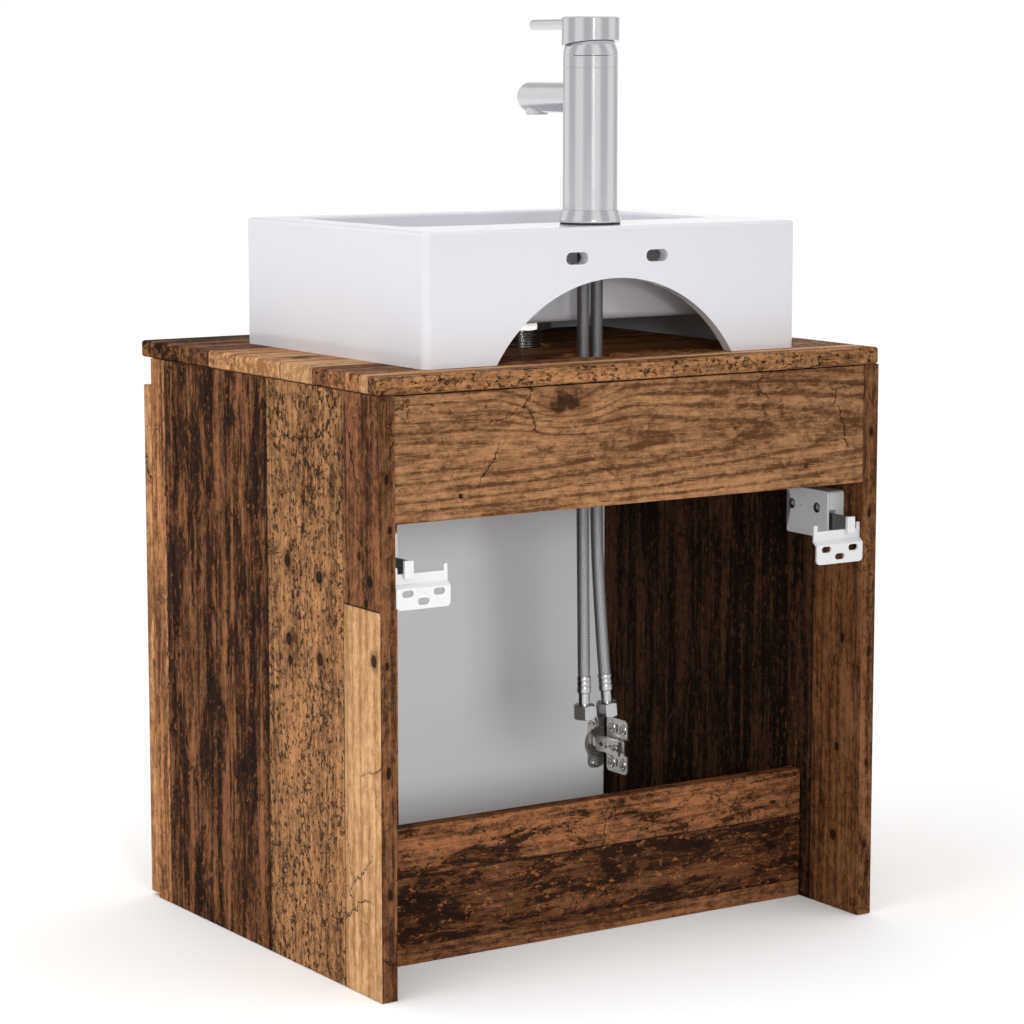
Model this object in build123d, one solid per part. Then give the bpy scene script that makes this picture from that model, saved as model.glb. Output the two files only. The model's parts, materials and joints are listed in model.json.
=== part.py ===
from build123d import *
import os
from math import cos, radians, sin, tan

# Wall-hung bathroom vanity cabinet with a counter-top basin and a mixer tap.
# X runs across the front (+X is right seen from the front), Y towards the wall, Z up.
# The origin is at the bottom centre of the whole object.

os.makedirs("parts", exist_ok=True)

# Cabinet
WIDTH = 550
DEPTH = 450
CABINET_HEIGHT = 550
BOARD = 16
DOOR_GAP = 3
DOOR_BOTTOM = 4
DOOR_HEIGHT = 503
DOOR_STANDOFF = 2
DOOR_OUTER_RADIUS = 4
DOOR_MEETING_RADIUS = 2
TOP_EDGE_RADIUS = 3
TOP_OVERHANG = 2
TOP_RAIL_HEIGHT = 111
TOP_RAIL_RECESS = 2
TOP_RAIL_CLEARANCE = 1
BOTTOM_RAIL_HEIGHT = 112
BOTTOM_RAIL_RECESS = 91
FRONT_RAIL_DEPTH = 60
FRONT_RAIL_SETBACK = 25
RAIL_HOLE_X = 191
RAIL_HOLE_RADIUS = 2.5
RAIL_HOLE_RISE = 20

REAR = DEPTH / 2
FRONT = -DEPTH / 2
PANEL_FRONT = FRONT + TOP_OVERHANG + BOARD + DOOR_STANDOFF
PANEL_HEIGHT = CABINET_HEIGHT - BOARD
INNER_X = WIDTH / 2 - BOARD
DOOR_BACK = PANEL_FRONT - DOOR_STANDOFF
BOTTOM_RAIL_BACK = REAR - BOTTOM_RAIL_RECESS

# Hinges: local x runs in from the cabinet's side, y runs back from the side panel's front edge
HINGE_HEIGHTS = {"lower": 94, "upper": 417}
PIVOT_X = 8
PIVOT_Y = -10
PIN_RADIUS = 1.2
PIN_LENGTH = 18.6
PIN_CLEARANCE = 0.05
EYE_RADIUS = 2.2
EYE_LENGTH = 10
CUP_X = 21.5
CUP_RADIUS = 17.5
CUP_DEPTH = 11.5
CUP_WALL = 0.8
CUP_FLOOR = 0.5
CUP_FLANGE = 1
CUP_RIM = 1
FLANGE_OUTER_X = 4.8
FLANGE_HEIGHT = 56
FLANGE_WING_X = (14, 36)
CUP_SCREW_X = 27
CUP_SCREW_Z = 23
ARM_THICKNESS = 2.4
ARM_WIDTH = 16
ARM_X = 25
ARM_LENGTH = 42
# the crank's corners, from the pin round the door's edge to the straight bar
ARM_ROUTE = [(PIVOT_X, PIVOT_Y), (18, -11.2), (23, -9), (ARM_X, -3), (ARM_X, 2)]
PLATE_THICKNESS = 1.5
PLATE_Y = (8, 46)
PLATE_HEIGHT = 59
PLATE_WEB_Y = (8, 40)
PLATE_WING_INNER_Z = 9
SADDLE_Y = (12, 38)
SADDLE_WIDTH = 12
PLATE_SCREW_Y = (17, 37)
PLATE_SCREW_Z = 19
ARM_SCREW_Y = (17, 33)
SCREW_RADIUS = 1.8
SCREW_HEAD_RADIUS = 3.6
SCREW_HEAD = 1.8
SCREW_LENGTH = 12

# Hangers
HANGER_BOX = (20, 62, 45)
HANGER_BOX_RADIUS = 3
HANGER_BOX_SETBACK = 30
HANGER_BOX_BACK = REAR - HANGER_BOX_SETBACK
HANGER_BOX_BOTTOM = 366
HOOK_X = 245
HOOK_WIDTH = 9
HOOK_THICKNESS = 2.5
HOOK_LIP = 3.5
HOOK_LENGTH = 70
HOOK_CLEARANCE = 0.5
HOOK_END_ROOM = 12
HOOK_NOTCH_GAP = 0.3
HOOK_RECESS = 0.5
HOOK_TOP = 390
HOOK_BOTTOM = 374
WALL_PLATE_WIDTH = 55
WALL_PLATE_GAP = 0.5
WALL_PLATE_THICKNESS = 2.5
WALL_PLATE_BOTTOM = 347
WALL_PLATE_STEP = 368
WALL_PLATE_TOP = 384
WALL_PLATE_OFFSET = 4.5
SLOT_LENGTH = 11.5
SLOT_RADIUS = 3
SLOT_SPACING = 32
SLOT_UPPER_Z = 361
SLOT_LOWER_Z = 353.5
BOX_SCREW_Y = (141, 179)
BOX_SCREW_Z = 394

# Basin
BASIN_WIDTH = 410
BASIN_DEPTH = 326
BASIN_HEIGHT = 120
BASIN_SETBACK = 39
BASIN_BACK = REAR - BASIN_SETBACK
BASIN_WALL = 12
BASIN_CORNER = 8
BASIN_TOP_RADIUS = 4
DECK = 14
BOWL_WALL = 10
BOWL_X = 167
FRONT_LEDGE = 20
TAP_LEDGE = 85
BOWL_LIFT = 38
BOWL_FRONT = BASIN_BACK - BASIN_DEPTH + FRONT_LEDGE
BOWL_BACK = BASIN_BACK - TAP_LEDGE
BOWL_FLOOR = CABINET_HEIGHT + BOWL_LIFT
BOWL_CORNER = 18
BOWL_FLOOR_RADIUS = 10
ARCH_WIDTH = 260
ARCH_HEIGHT = 73
BACK_SLOT_X = 44
BACK_SLOT_RISE = 92
BACK_SLOT = (24, 11)
BASIN_TOP = CABINET_HEIGHT + BASIN_HEIGHT

# Waste
DRAIN_Y = 25
DRAIN_HOLE_RADIUS = 23
DRAIN_RADIUS = 20.95
DRAIN_BORE = 18
DRAIN_FLANGE_RADIUS = 31
DRAIN_FLANGE = 3
DRAIN_BOTTOM = 503
DRAIN_NUT_FLATS = 52
DRAIN_NUT = 9
DRAIN_WASHER_RADIUS = 31
DRAIN_WASHER = 3
DRAIN_BRIDGE = (10, 8)
DRAIN_BRIDGE_DROP = 28
DRAIN_CUTOUT_RADIUS = 30
PLUG_RADIUS = 28
PLUG_CAP = 4
PLUG_EDGE = 2
PLUG_STEM_RADIUS = 4
PLUG_STEM = 40
PLUG_GAP = 0.3

# Tap
TAP_Y = 142
TAP_HOLE_RADIUS = 17
TAP_RADIUS = 25
TAP_HEIGHT = 187
TAP_FLANGE_RADIUS = 28.5
TAP_FLANGE_TOP_RADIUS = 26
TAP_FLANGE = 12
GASKET = 1.2
GASKET_RADIUS = 27.5
PIVOT_HEIGHT = 152
CAP_HEIGHT = 16
CAVITY_RADIUS = 21
CAVITY_RISE = (30, 126)
CARTRIDGE_RADIUS = 16
CARTRIDGE_BOTTOM = 130
CARTRIDGE_HEIGHT = 30
CARTRIDGE_PORT = 6
SPINDLE_RADIUS = 9
SPINDLE_BOTTOM = 137
SPINDLE_HEIGHT = 22
SPINDLE_SLOT = 6.6
STEM_RADIUS = 3
STEM_EYE_RADIUS = 4
STEM_EYE_PLAY = 0.6
TRUNNION_RADIUS = 2
TRUNNION_INSET = 4
STEM_TOP = 180
HEAD_RADIUS = 26.25
HEAD_CLEARANCE = 0.4
HEAD_RIM_RISE = 163
HEAD_RIM_SLOPE = 8
HEAD_EDGE = 1.5
HEAD_SKIRT = 10
LEVER_RADIUS = 5
LEVER_REACH = 95
LEVER_RISE = 180.5
LEVER_INSERT = 8
LEVER_END_RADIUS = 2.5
SPOUT_RADIUS = 14
SPOUT_REACH = 105
SPOUT_RISE = 114
SPOUT_END_RADIUS = 7
SPOUT_BORE = 9
AERATOR_REACH = 88
AERATOR_RADIUS = 10.5
AERATOR_DEPTH = 8
AERATOR_DROP = 2
AERATOR_WALL = 2.5
STUD_OFFSET = 12
STUD_Y = TAP_Y - STUD_OFFSET
STUD_RADIUS = 3
STUD_RISE = (-38, 20)
STUD_NUT_FLATS = 11
STUD_NUT = 7
CLAMP_RADIUS = 22
CLAMP_THICKNESS = 2.5
CLAMP_SLOT = 15
CLAMP_SLOT_Y = 135

# Hoses: the routes run down from the inlet fittings to the crimped sleeves
HOSE_DIAMETER = 11.5
HOSE_HOLE_RADIUS = 25
INLET_RADIUS = 5
INLET_X = 7.5
INLET_SLEEVE_RADIUS = 6.3
INLET_SLEEVE = 26
INLET_THREAD = 20
SLEEVE_RADIUS = 6.6
SLEEVE_LENGTH = 9
NECK_RADIUS = 5.2
NECK_LENGTH = 16.5
COLLAR_RADIUS = 7.8
COLLAR_LENGTH = 3
NUT_FLATS = 19
NUT_LENGTH = 13.5
NUT_LIP = 2.5
NUT_BORE = 8.3
NUT_CLEARANCE = 0.08
HOSE_TOP = BASIN_TOP + GASKET - INLET_SLEEVE
HOSE_ROUTES = {
    "right": [
        (7.5, 142, HOSE_TOP),
        (7.5, 142, 565),
        (7.9, 142.2, 460),
        (7.0, 142.4, 350),
        (5.2, 142, 243),
    ],
    "left": [
        (-7.5, 142, HOSE_TOP),
        (-7.5, 142, 565),
        (-7.2, 142.3, 455),
        (-9.2, 142.3, 340),
        (-18.8, 142, 243),
    ],
}


def block(x, y, z):
    """A box between the two limits given for each axis."""
    size = [high - low for low, high in (x, y, z)]
    centre = [(low + high) / 2 for low, high in (x, y, z)]
    return Pos(*centre) * Box(*size)


def rod(x, y, z, radius, length, axis=(0, 0, 1)):
    """A cylinder that starts at x, y, z and runs along the axis."""
    start = Plane(origin=(x, y, z), z_dir=axis)
    return start * Cylinder(radius, length, align=(Align.CENTER, Align.CENTER, Align.MIN))


def hexagon(x, y, z, flats, length, axis=(0, 0, 1)):
    """A hexagonal bar of the given width across flats, starting at x, y, z."""
    start = Plane(origin=(x, y, z), z_dir=axis)
    outline = RegularPolygon(flats / 2, 6, major_radius=False)
    return extrude(start * outline, length)


def save(name, *pieces):
    """Write one node's STEP file, from one piece or from a group of like ones."""
    solids = [solid for piece in pieces for solid in piece.solids()]
    shape = solids[0] if len(solids) == 1 else Compound(solids)
    export_step(shape, f"parts/{name}.step")
    print(f"{name:28s} {len(solids):3d} solid(s) {shape.volume / 1000:9.2f} cm3")


def put_side(side, shape):
    """Return a left-hand shape as it stands on the given side."""
    return shape if side == "left" else mirror(shape, about=Plane.YZ)


def from_hinge(x, y, z):
    """Turn hinge coordinates on the left side into the object's own."""
    return (-WIDTH / 2 + x, PANEL_FRONT + y, z)


def hinge_block(x, y, z):
    """A box given in hinge coordinates."""
    return block(
        [-WIDTH / 2 + value for value in x],
        [PANEL_FRONT + value for value in y],
        z,
    )


# Hinge pieces, all on the left side


def hinge_pin(height):
    return rod(*from_hinge(PIVOT_X, PIVOT_Y, height - PIN_LENGTH / 2), PIN_RADIUS, PIN_LENGTH)


def plate_screw(y, z):
    shank = rod(*from_hinge(BOARD + PLATE_THICKNESS, y, z), SCREW_RADIUS, SCREW_LENGTH, (-1, 0, 0))
    head = rod(*from_hinge(BOARD + PLATE_THICKNESS, y, z), SCREW_HEAD_RADIUS, SCREW_HEAD, (1, 0, 0))
    return shank + head


def plate_screws(height):
    return [plate_screw(y, height + side * PLATE_SCREW_Z) for y in PLATE_SCREW_Y for side in (-1, 1)]


def arm_screws(height):
    outer = ARM_X + ARM_THICKNESS / 2
    reach = outer - BOARD - PLATE_THICKNESS
    screws = []
    for y in ARM_SCREW_Y:
        shank = rod(*from_hinge(outer, y, height), SCREW_RADIUS, reach, (-1, 0, 0))
        head = rod(*from_hinge(outer, y, height), SCREW_HEAD_RADIUS, SCREW_HEAD, (1, 0, 0))
        screws.append(shank + head)
    return screws


def hinge_plate(height):
    half = PLATE_HEIGHT / 2
    skin = (BOARD, BOARD + PLATE_THICKNESS)
    plate = hinge_block(skin, PLATE_WEB_Y, (height - PLATE_WING_INNER_Z, height + PLATE_WING_INNER_Z))
    plate += hinge_block(skin, PLATE_Y, (height + PLATE_WING_INNER_Z, height + half))
    plate += hinge_block(skin, PLATE_Y, (height - half, height - PLATE_WING_INNER_Z))
    saddle_top = ARM_X - ARM_THICKNESS / 2
    plate += hinge_block(
        (skin[1], saddle_top), SADDLE_Y, (height - SADDLE_WIDTH / 2, height + SADDLE_WIDTH / 2)
    )
    for screw in plate_screws(height) + arm_screws(height):
        plate -= screw
    return plate


def strip(points, thickness, bottom, height):
    """A bent strip of sheet that follows a plan route, with rounded bends."""
    shape = None
    for before, after in zip(points, points[1:]):
        run = Vector(*after) - Vector(*before)
        middle = (Vector(*after) + Vector(*before)) / 2
        place = Plane(origin=(middle.X, middle.Y, bottom + height / 2), x_dir=run)
        bend = rod(*before, bottom, thickness / 2, height)
        piece = place * Box(run.length, thickness, height) + bend
        shape = piece if shape is None else shape + piece
    return shape


def hinge_arm(height):
    half = ARM_THICKNESS / 2
    route = [from_hinge(x, y, 0)[:2] for x, y in ARM_ROUTE]
    arm = strip(route, ARM_THICKNESS, height - EYE_LENGTH / 2, EYE_LENGTH)
    arm += rod(*from_hinge(PIVOT_X, PIVOT_Y, height - EYE_LENGTH / 2), EYE_RADIUS, EYE_LENGTH)
    arm += hinge_block(
        (ARM_X - half, ARM_X + half), (0, ARM_LENGTH), (height - ARM_WIDTH / 2, height + ARM_WIDTH / 2)
    )
    arm -= rod(
        *from_hinge(PIVOT_X, PIVOT_Y, height - EYE_LENGTH / 2 - 1), PIN_RADIUS + PIN_CLEARANCE, EYE_LENGTH + 2
    )
    for screw in arm_screws(height):
        arm -= screw
    return arm


def cup_screws(height):
    screws = []
    face = -DOOR_STANDOFF + CUP_FLANGE
    for side in (-1, 1):
        place = from_hinge(CUP_SCREW_X, face, height + side * CUP_SCREW_Z)
        shank = rod(*place, SCREW_RADIUS, SCREW_LENGTH, (0, -1, 0))
        head = rod(*place, SCREW_HEAD_RADIUS, SCREW_HEAD, (0, 1, 0))
        screws.append(shank + head)
    return screws


def cup_pocket(height):
    return rod(*from_hinge(CUP_X, -DOOR_STANDOFF, height), CUP_RADIUS, CUP_DEPTH, (0, -1, 0))


def hinge_cup(height):
    face = -DOOR_STANDOFF
    wing = hinge_block(
        FLANGE_WING_X, (face, face + CUP_FLANGE), (height - FLANGE_HEIGHT / 2, height + FLANGE_HEIGHT / 2)
    )
    disc = rod(*from_hinge(CUP_X, face, height), CUP_RADIUS + CUP_RIM, CUP_FLANGE, (0, 1, 0))
    reach = CUP_RADIUS + 2 * CUP_RIM
    disc &= hinge_block(
        (FLANGE_OUTER_X, CUP_X + reach), (face, face + CUP_FLANGE), (height - reach, height + reach)
    )
    hollow = rod(
        *from_hinge(CUP_X, face + CUP_FLANGE + 1, height),
        CUP_RADIUS - CUP_WALL,
        CUP_DEPTH - CUP_FLOOR + CUP_FLANGE + 1,
        (0, -1, 0),
    )
    cup = cup_pocket(height) + wing + disc - hollow - hinge_pin(height)
    for screw in cup_screws(height):
        cup -= screw
    return cup


# Cabinet boards


def side_panel():
    panel = block((-WIDTH / 2, -INNER_X), (PANEL_FRONT, REAR), (0, PANEL_HEIGHT))
    for height in HINGE_HEIGHTS.values():
        for screw in plate_screws(height):
            panel -= screw
    for screw in hanger_screws():
        panel -= screw
    return panel


def door():
    x = (-WIDTH / 2, -DOOR_GAP / 2)
    leaf = block(x, (DOOR_BACK - BOARD, DOOR_BACK), (DOOR_BOTTOM, DOOR_BOTTOM + DOOR_HEIGHT))
    uprights = leaf.edges().filter_by(Axis.Z)
    leaf = fillet(uprights.sort_by(Axis.X)[:2], DOOR_OUTER_RADIUS)
    uprights = leaf.edges().filter_by(Axis.Z)
    leaf = fillet(uprights.sort_by(Axis.X)[-2:], DOOR_MEETING_RADIUS)
    for height in HINGE_HEIGHTS.values():
        leaf -= cup_pocket(height)
        for screw in cup_screws(height):
            leaf -= screw
    return leaf


def countertop():
    top = block((-WIDTH / 2, WIDTH / 2), (FRONT, REAR), (PANEL_HEIGHT, CABINET_HEIGHT))
    top = fillet(top.edges(), TOP_EDGE_RADIUS)
    top -= rod(0, DRAIN_Y, PANEL_HEIGHT - 1, DRAIN_CUTOUT_RADIUS, BOARD + 2)
    top -= rod(0, TAP_Y, PANEL_HEIGHT - 1, HOSE_HOLE_RADIUS, BOARD + 2)
    return top


def top_rear_rail():
    y = (REAR - TOP_RAIL_RECESS - BOARD, REAR - TOP_RAIL_RECESS)
    top = PANEL_HEIGHT - TOP_RAIL_CLEARANCE
    rail = block((-INNER_X, INNER_X), y, (top - TOP_RAIL_HEIGHT, top))
    hole_z = top - TOP_RAIL_HEIGHT + RAIL_HOLE_RISE
    for x in (-RAIL_HOLE_X, RAIL_HOLE_X):
        rail -= rod(x, y[0] - 1, hole_z, RAIL_HOLE_RADIUS, BOARD + 2, (0, 1, 0))
    return rail


# Hangers, on the left side


def hanger_screws():
    screws = []
    inner = -INNER_X + HANGER_BOX[0]
    for y in BOX_SCREW_Y:
        head = rod(inner, y, BOX_SCREW_Z, SCREW_HEAD_RADIUS, SCREW_HEAD, (1, 0, 0))
        shank = rod(inner, y, BOX_SCREW_Z, SCREW_RADIUS, HANGER_BOX[0] + SCREW_LENGTH, (-1, 0, 0))
        screws.append(head + shank)
    return screws


def hook_strip(clearance=0):
    half = HOOK_THICKNESS / 2 + clearance
    back = REAR - HOOK_RECESS
    y = (back - HOOK_LENGTH - clearance * HOOK_END_ROOM, back)
    return block((-HOOK_X - half, -HOOK_X + half), y, (HOOK_BOTTOM - clearance, HOOK_TOP + clearance))


def hanger_box():
    width, depth, height = HANGER_BOX
    box = block(
        (-INNER_X, -INNER_X + width),
        (HANGER_BOX_BACK - depth, HANGER_BOX_BACK),
        (HANGER_BOX_BOTTOM, HANGER_BOX_BOTTOM + height),
    )
    box = fillet(box.edges().filter_by(Axis.X), HANGER_BOX_RADIUS)
    box -= hook_strip(HOOK_CLEARANCE)
    for screw in hanger_screws():
        box -= screw
    return box


def hanger_hook():
    x = (-HOOK_X - HOOK_WIDTH / 2, -HOOK_X + HOOK_WIDTH / 2)
    back = REAR - HOOK_RECESS
    flange_front = REAR - WALL_PLATE_THICKNESS - WALL_PLATE_OFFSET
    notch = block(x, (flange_front - HOOK_NOTCH_GAP, back - HOOK_LIP), (HOOK_BOTTOM - 1, WALL_PLATE_TOP))
    lip = block(x, (back - HOOK_LIP, back), (HOOK_BOTTOM, HOOK_TOP))
    return hook_strip() - notch + lip


def wall_plate():
    outer = -INNER_X + WALL_PLATE_GAP
    x = (outer, outer + WALL_PLATE_WIDTH)
    front = REAR - WALL_PLATE_THICKNESS - WALL_PLATE_OFFSET
    plate = block(x, (REAR - WALL_PLATE_THICKNESS, REAR), (WALL_PLATE_BOTTOM, WALL_PLATE_STEP))
    plate += block(x, (front, REAR), (WALL_PLATE_STEP - WALL_PLATE_THICKNESS, WALL_PLATE_STEP))
    plate += block(
        x, (front, front + WALL_PLATE_THICKNESS), (WALL_PLATE_STEP - WALL_PLATE_THICKNESS, WALL_PLATE_TOP)
    )
    middle = outer + WALL_PLATE_WIDTH / 2
    half = SLOT_SPACING / 2
    slots = ((middle - half, SLOT_UPPER_Z), (middle + half, SLOT_UPPER_Z), (middle, SLOT_LOWER_Z))
    for slot_x, slot_z in slots:
        face = Plane(origin=(slot_x, REAR + 1, slot_z), x_dir=(1, 0, 0), z_dir=(0, -1, 0))
        plate -= extrude(face * SlotOverall(SLOT_LENGTH, 2 * SLOT_RADIUS), WALL_PLATE_THICKNESS + 2)
    return plate


# Basin and waste


def basin():
    half = BASIN_WIDTH / 2
    front = BASIN_BACK - BASIN_DEPTH
    shell = block((-half, half), (front, BASIN_BACK), (CABINET_HEIGHT, BASIN_TOP))
    shell = fillet(shell.edges().filter_by(Axis.Z), BASIN_CORNER)
    shell = fillet(shell.faces().sort_by(Axis.Z)[-1].edges(), BASIN_TOP_RADIUS)
    inside = block(
        (-half + BASIN_WALL, half - BASIN_WALL),
        (front + BASIN_WALL, BASIN_BACK - BASIN_WALL),
        (CABINET_HEIGHT - 1, BASIN_TOP - DECK),
    )
    bowl_outside = block(
        (-BOWL_X - BOWL_WALL, BOWL_X + BOWL_WALL),
        (BOWL_FRONT - BOWL_WALL, BOWL_BACK + BOWL_WALL),
        (BOWL_FLOOR - BOWL_WALL, BASIN_TOP - DECK / 2),
    )
    bowl_outside = fillet(bowl_outside.edges().filter_by(Axis.Z), BOWL_CORNER + BOWL_WALL)
    bowl_inside = block((-BOWL_X, BOWL_X), (BOWL_FRONT, BOWL_BACK), (BOWL_FLOOR, BASIN_TOP + 1))
    bowl_inside = fillet(bowl_inside.edges().filter_by(Axis.Z), BOWL_CORNER)
    bowl_inside = fillet(bowl_inside.faces().sort_by(Axis.Z)[0].edges(), BOWL_FLOOR_RADIUS)
    shape = shell - inside + bowl_outside - bowl_inside
    shape -= rod(0, DRAIN_Y, BOWL_FLOOR - BOWL_WALL - 1, DRAIN_HOLE_RADIUS, BOWL_WALL + 2)
    shape -= rod(0, TAP_Y, BASIN_TOP - DECK - 1, TAP_HOLE_RADIUS, DECK + 2)
    back_wall = BASIN_BACK - BASIN_WALL
    arch_radius = ((ARCH_WIDTH / 2) ** 2 + ARCH_HEIGHT**2) / (2 * ARCH_HEIGHT)
    arch_centre = CABINET_HEIGHT + ARCH_HEIGHT - arch_radius
    shape -= rod(0, back_wall - 1, arch_centre, arch_radius, BASIN_WALL + 2, (0, 1, 0))
    for x in (-BACK_SLOT_X, BACK_SLOT_X):
        face = Plane(
            origin=(x, back_wall - 1, CABINET_HEIGHT + BACK_SLOT_RISE), x_dir=(1, 0, 0), z_dir=(0, 1, 0)
        )
        shape -= extrude(face * SlotOverall(*BACK_SLOT), BASIN_WALL + 2)
    return shape


def drain_body():
    seat = BOWL_FLOOR
    body = rod(0, DRAIN_Y, DRAIN_BOTTOM, DRAIN_RADIUS, seat - DRAIN_BOTTOM)
    body += rod(0, DRAIN_Y, seat, DRAIN_FLANGE_RADIUS, DRAIN_FLANGE)
    body -= rod(0, DRAIN_Y, DRAIN_BOTTOM - 1, DRAIN_BORE, seat + DRAIN_FLANGE - DRAIN_BOTTOM + 2)
    width, thickness = DRAIN_BRIDGE
    bridge_bottom = seat - DRAIN_BRIDGE_DROP
    bridge = block(
        (-DRAIN_BORE - 1, DRAIN_BORE + 1),
        (DRAIN_Y - width / 2, DRAIN_Y + width / 2),
        (bridge_bottom, bridge_bottom + thickness),
    )
    guide = rod(0, DRAIN_Y, bridge_bottom - 1, PLUG_STEM_RADIUS + PIN_CLEARANCE, thickness + 2)
    return body + bridge - guide


def drain_washer():
    top = BOWL_FLOOR - BOWL_WALL
    ring = rod(0, DRAIN_Y, top - DRAIN_WASHER, DRAIN_WASHER_RADIUS, DRAIN_WASHER)
    return ring - rod(0, DRAIN_Y, top - DRAIN_WASHER - 1, DRAIN_RADIUS, DRAIN_WASHER + 2)


def drain_nut():
    bottom = BOWL_FLOOR - BOWL_WALL - DRAIN_WASHER - DRAIN_NUT
    nut = hexagon(0, DRAIN_Y, bottom, DRAIN_NUT_FLATS, DRAIN_NUT)
    return nut - rod(0, DRAIN_Y, bottom - 1, DRAIN_RADIUS, DRAIN_NUT + 2)


def waste_plug():
    seat = BOWL_FLOOR + DRAIN_FLANGE + PLUG_GAP
    cap = rod(0, DRAIN_Y, seat, PLUG_RADIUS, PLUG_CAP)
    cap = fillet(cap.edges().sort_by(Axis.Z)[-1], PLUG_EDGE)
    return cap + rod(0, DRAIN_Y, seat - PLUG_STEM, PLUG_STEM_RADIUS, PLUG_STEM)


# Tap


def tap_rod(rise, radius, height):
    """A vertical cylinder on the tap's axis, starting this far above the basin."""
    return rod(0, TAP_Y, BASIN_TOP + rise, radius, height)


def tap_gasket():
    return tap_rod(0, GASKET_RADIUS, GASKET) - tap_rod(-1, TAP_HOLE_RADIUS + GASKET, GASKET + 2)


def tap_inlets():
    return [rod(x, TAP_Y, BASIN_TOP, INLET_RADIUS, CAVITY_RISE[0] + 1) for x in (-INLET_X, INLET_X)]


def tap_body():
    flange_start = Plane(origin=(0, TAP_Y, BASIN_TOP + GASKET))
    body = tap_rod(GASKET, TAP_RADIUS, PIVOT_HEIGHT - GASKET)
    body += flange_start * Cone(
        TAP_FLANGE_RADIUS, TAP_FLANGE_TOP_RADIUS, TAP_FLANGE, align=(Align.CENTER, Align.CENTER, Align.MIN)
    )
    body -= tap_rod(CAVITY_RISE[0], CAVITY_RADIUS, CAVITY_RISE[1] - CAVITY_RISE[0])
    body -= tap_rod(CAVITY_RISE[1] - 1, CARTRIDGE_PORT, CARTRIDGE_BOTTOM - CAVITY_RISE[1] + 2)
    body -= tap_rod(CARTRIDGE_BOTTOM, CARTRIDGE_RADIUS, CARTRIDGE_HEIGHT)
    for inlet in tap_inlets():
        body -= inlet
    body -= rod(0, STUD_Y, BASIN_TOP, STUD_RADIUS, STUD_RISE[1])
    spout_z = BASIN_TOP + SPOUT_RISE
    body -= rod(0, TAP_Y, spout_z, SPOUT_BORE, TAP_RADIUS + 2, (0, -1, 0))
    return body


def tap_cap_ring():
    ball = Pos(0, TAP_Y, BASIN_TOP + PIVOT_HEIGHT) * Sphere(TAP_RADIUS)
    ring = ball & tap_rod(PIVOT_HEIGHT, TAP_RADIUS + 1, CAP_HEIGHT)
    return ring - tap_rod(PIVOT_HEIGHT - 1, CARTRIDGE_RADIUS, CAP_HEIGHT + 2)


def tap_cartridge():
    body = tap_rod(CARTRIDGE_BOTTOM, CARTRIDGE_RADIUS, CARTRIDGE_HEIGHT)
    return body - tap_rod(SPINDLE_BOTTOM, SPINDLE_RADIUS + PIN_CLEARANCE, CARTRIDGE_HEIGHT)


def trunnion(radius):
    z = BASIN_TOP + PIVOT_HEIGHT
    length = 2 * SPINDLE_RADIUS - TRUNNION_INSET
    return rod(-length / 2, TAP_Y, z, radius, length, (1, 0, 0))


def tap_spindle():
    spindle = tap_rod(SPINDLE_BOTTOM, SPINDLE_RADIUS, SPINDLE_HEIGHT)
    slot_bottom = BASIN_TOP + PIVOT_HEIGHT - STEM_EYE_RADIUS - TRUNNION_RADIUS
    spindle -= block(
        (-SPINDLE_SLOT / 2, SPINDLE_SLOT / 2),
        (TAP_Y - SPINDLE_RADIUS - 1, TAP_Y + SPINDLE_RADIUS + 1),
        (slot_bottom, BASIN_TOP + SPINDLE_BOTTOM + SPINDLE_HEIGHT + 1),
    )
    return spindle - trunnion(TRUNNION_RADIUS + PIN_CLEARANCE)


def tap_stem():
    z = BASIN_TOP + PIVOT_HEIGHT
    width = SPINDLE_SLOT - STEM_EYE_PLAY
    eye = rod(-width / 2, TAP_Y, z, STEM_EYE_RADIUS, width, (1, 0, 0))
    return trunnion(TRUNNION_RADIUS) + eye + tap_rod(PIVOT_HEIGHT, STEM_RADIUS, STEM_TOP - PIVOT_HEIGHT)


def lever_rod():
    z = BASIN_TOP + LEVER_RISE
    start = TAP_Y - HEAD_RADIUS + LEVER_INSERT
    lever = rod(0, start, z, LEVER_RADIUS, LEVER_REACH - HEAD_RADIUS + LEVER_INSERT, (0, -1, 0))
    return fillet(lever.edges().sort_by(Axis.Y)[0], LEVER_END_RADIUS)


def tap_head():
    head = tap_rod(HEAD_RIM_RISE - HEAD_SKIRT, HEAD_RADIUS, TAP_HEIGHT - HEAD_RIM_RISE + HEAD_SKIRT)
    head = fillet(head.edges().sort_by(Axis.Z)[-1], HEAD_EDGE)
    tilt = radians(HEAD_RIM_SLOPE)
    rim = Plane(
        origin=(0, TAP_Y, BASIN_TOP + HEAD_RIM_RISE), x_dir=(1, 0, 0), z_dir=(0, -sin(tilt), cos(tilt))
    )
    head -= rim * Cylinder(
        2 * HEAD_RADIUS, 2 * HEAD_SKIRT, align=(Align.CENTER, Align.CENTER, Align.MAX)
    )
    head -= Pos(0, TAP_Y, BASIN_TOP + PIVOT_HEIGHT) * Sphere(TAP_RADIUS + HEAD_CLEARANCE)
    return head - tap_stem() - lever_rod()


def tap_spout():
    z = BASIN_TOP + SPOUT_RISE
    spout = rod(0, TAP_Y, z, SPOUT_RADIUS, SPOUT_REACH, (0, -1, 0))
    spout = fillet(spout.edges().sort_by(Axis.Y)[0], SPOUT_END_RADIUS)
    spout -= rod(0, TAP_Y, z, SPOUT_BORE, AERATOR_REACH, (0, -1, 0))
    spout -= rod(0, TAP_Y - AERATOR_REACH, z - SPOUT_RADIUS - 1, AERATOR_RADIUS, AERATOR_DEPTH + 1)
    return spout - tap_rod(0, TAP_RADIUS, TAP_HEIGHT)


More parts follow.
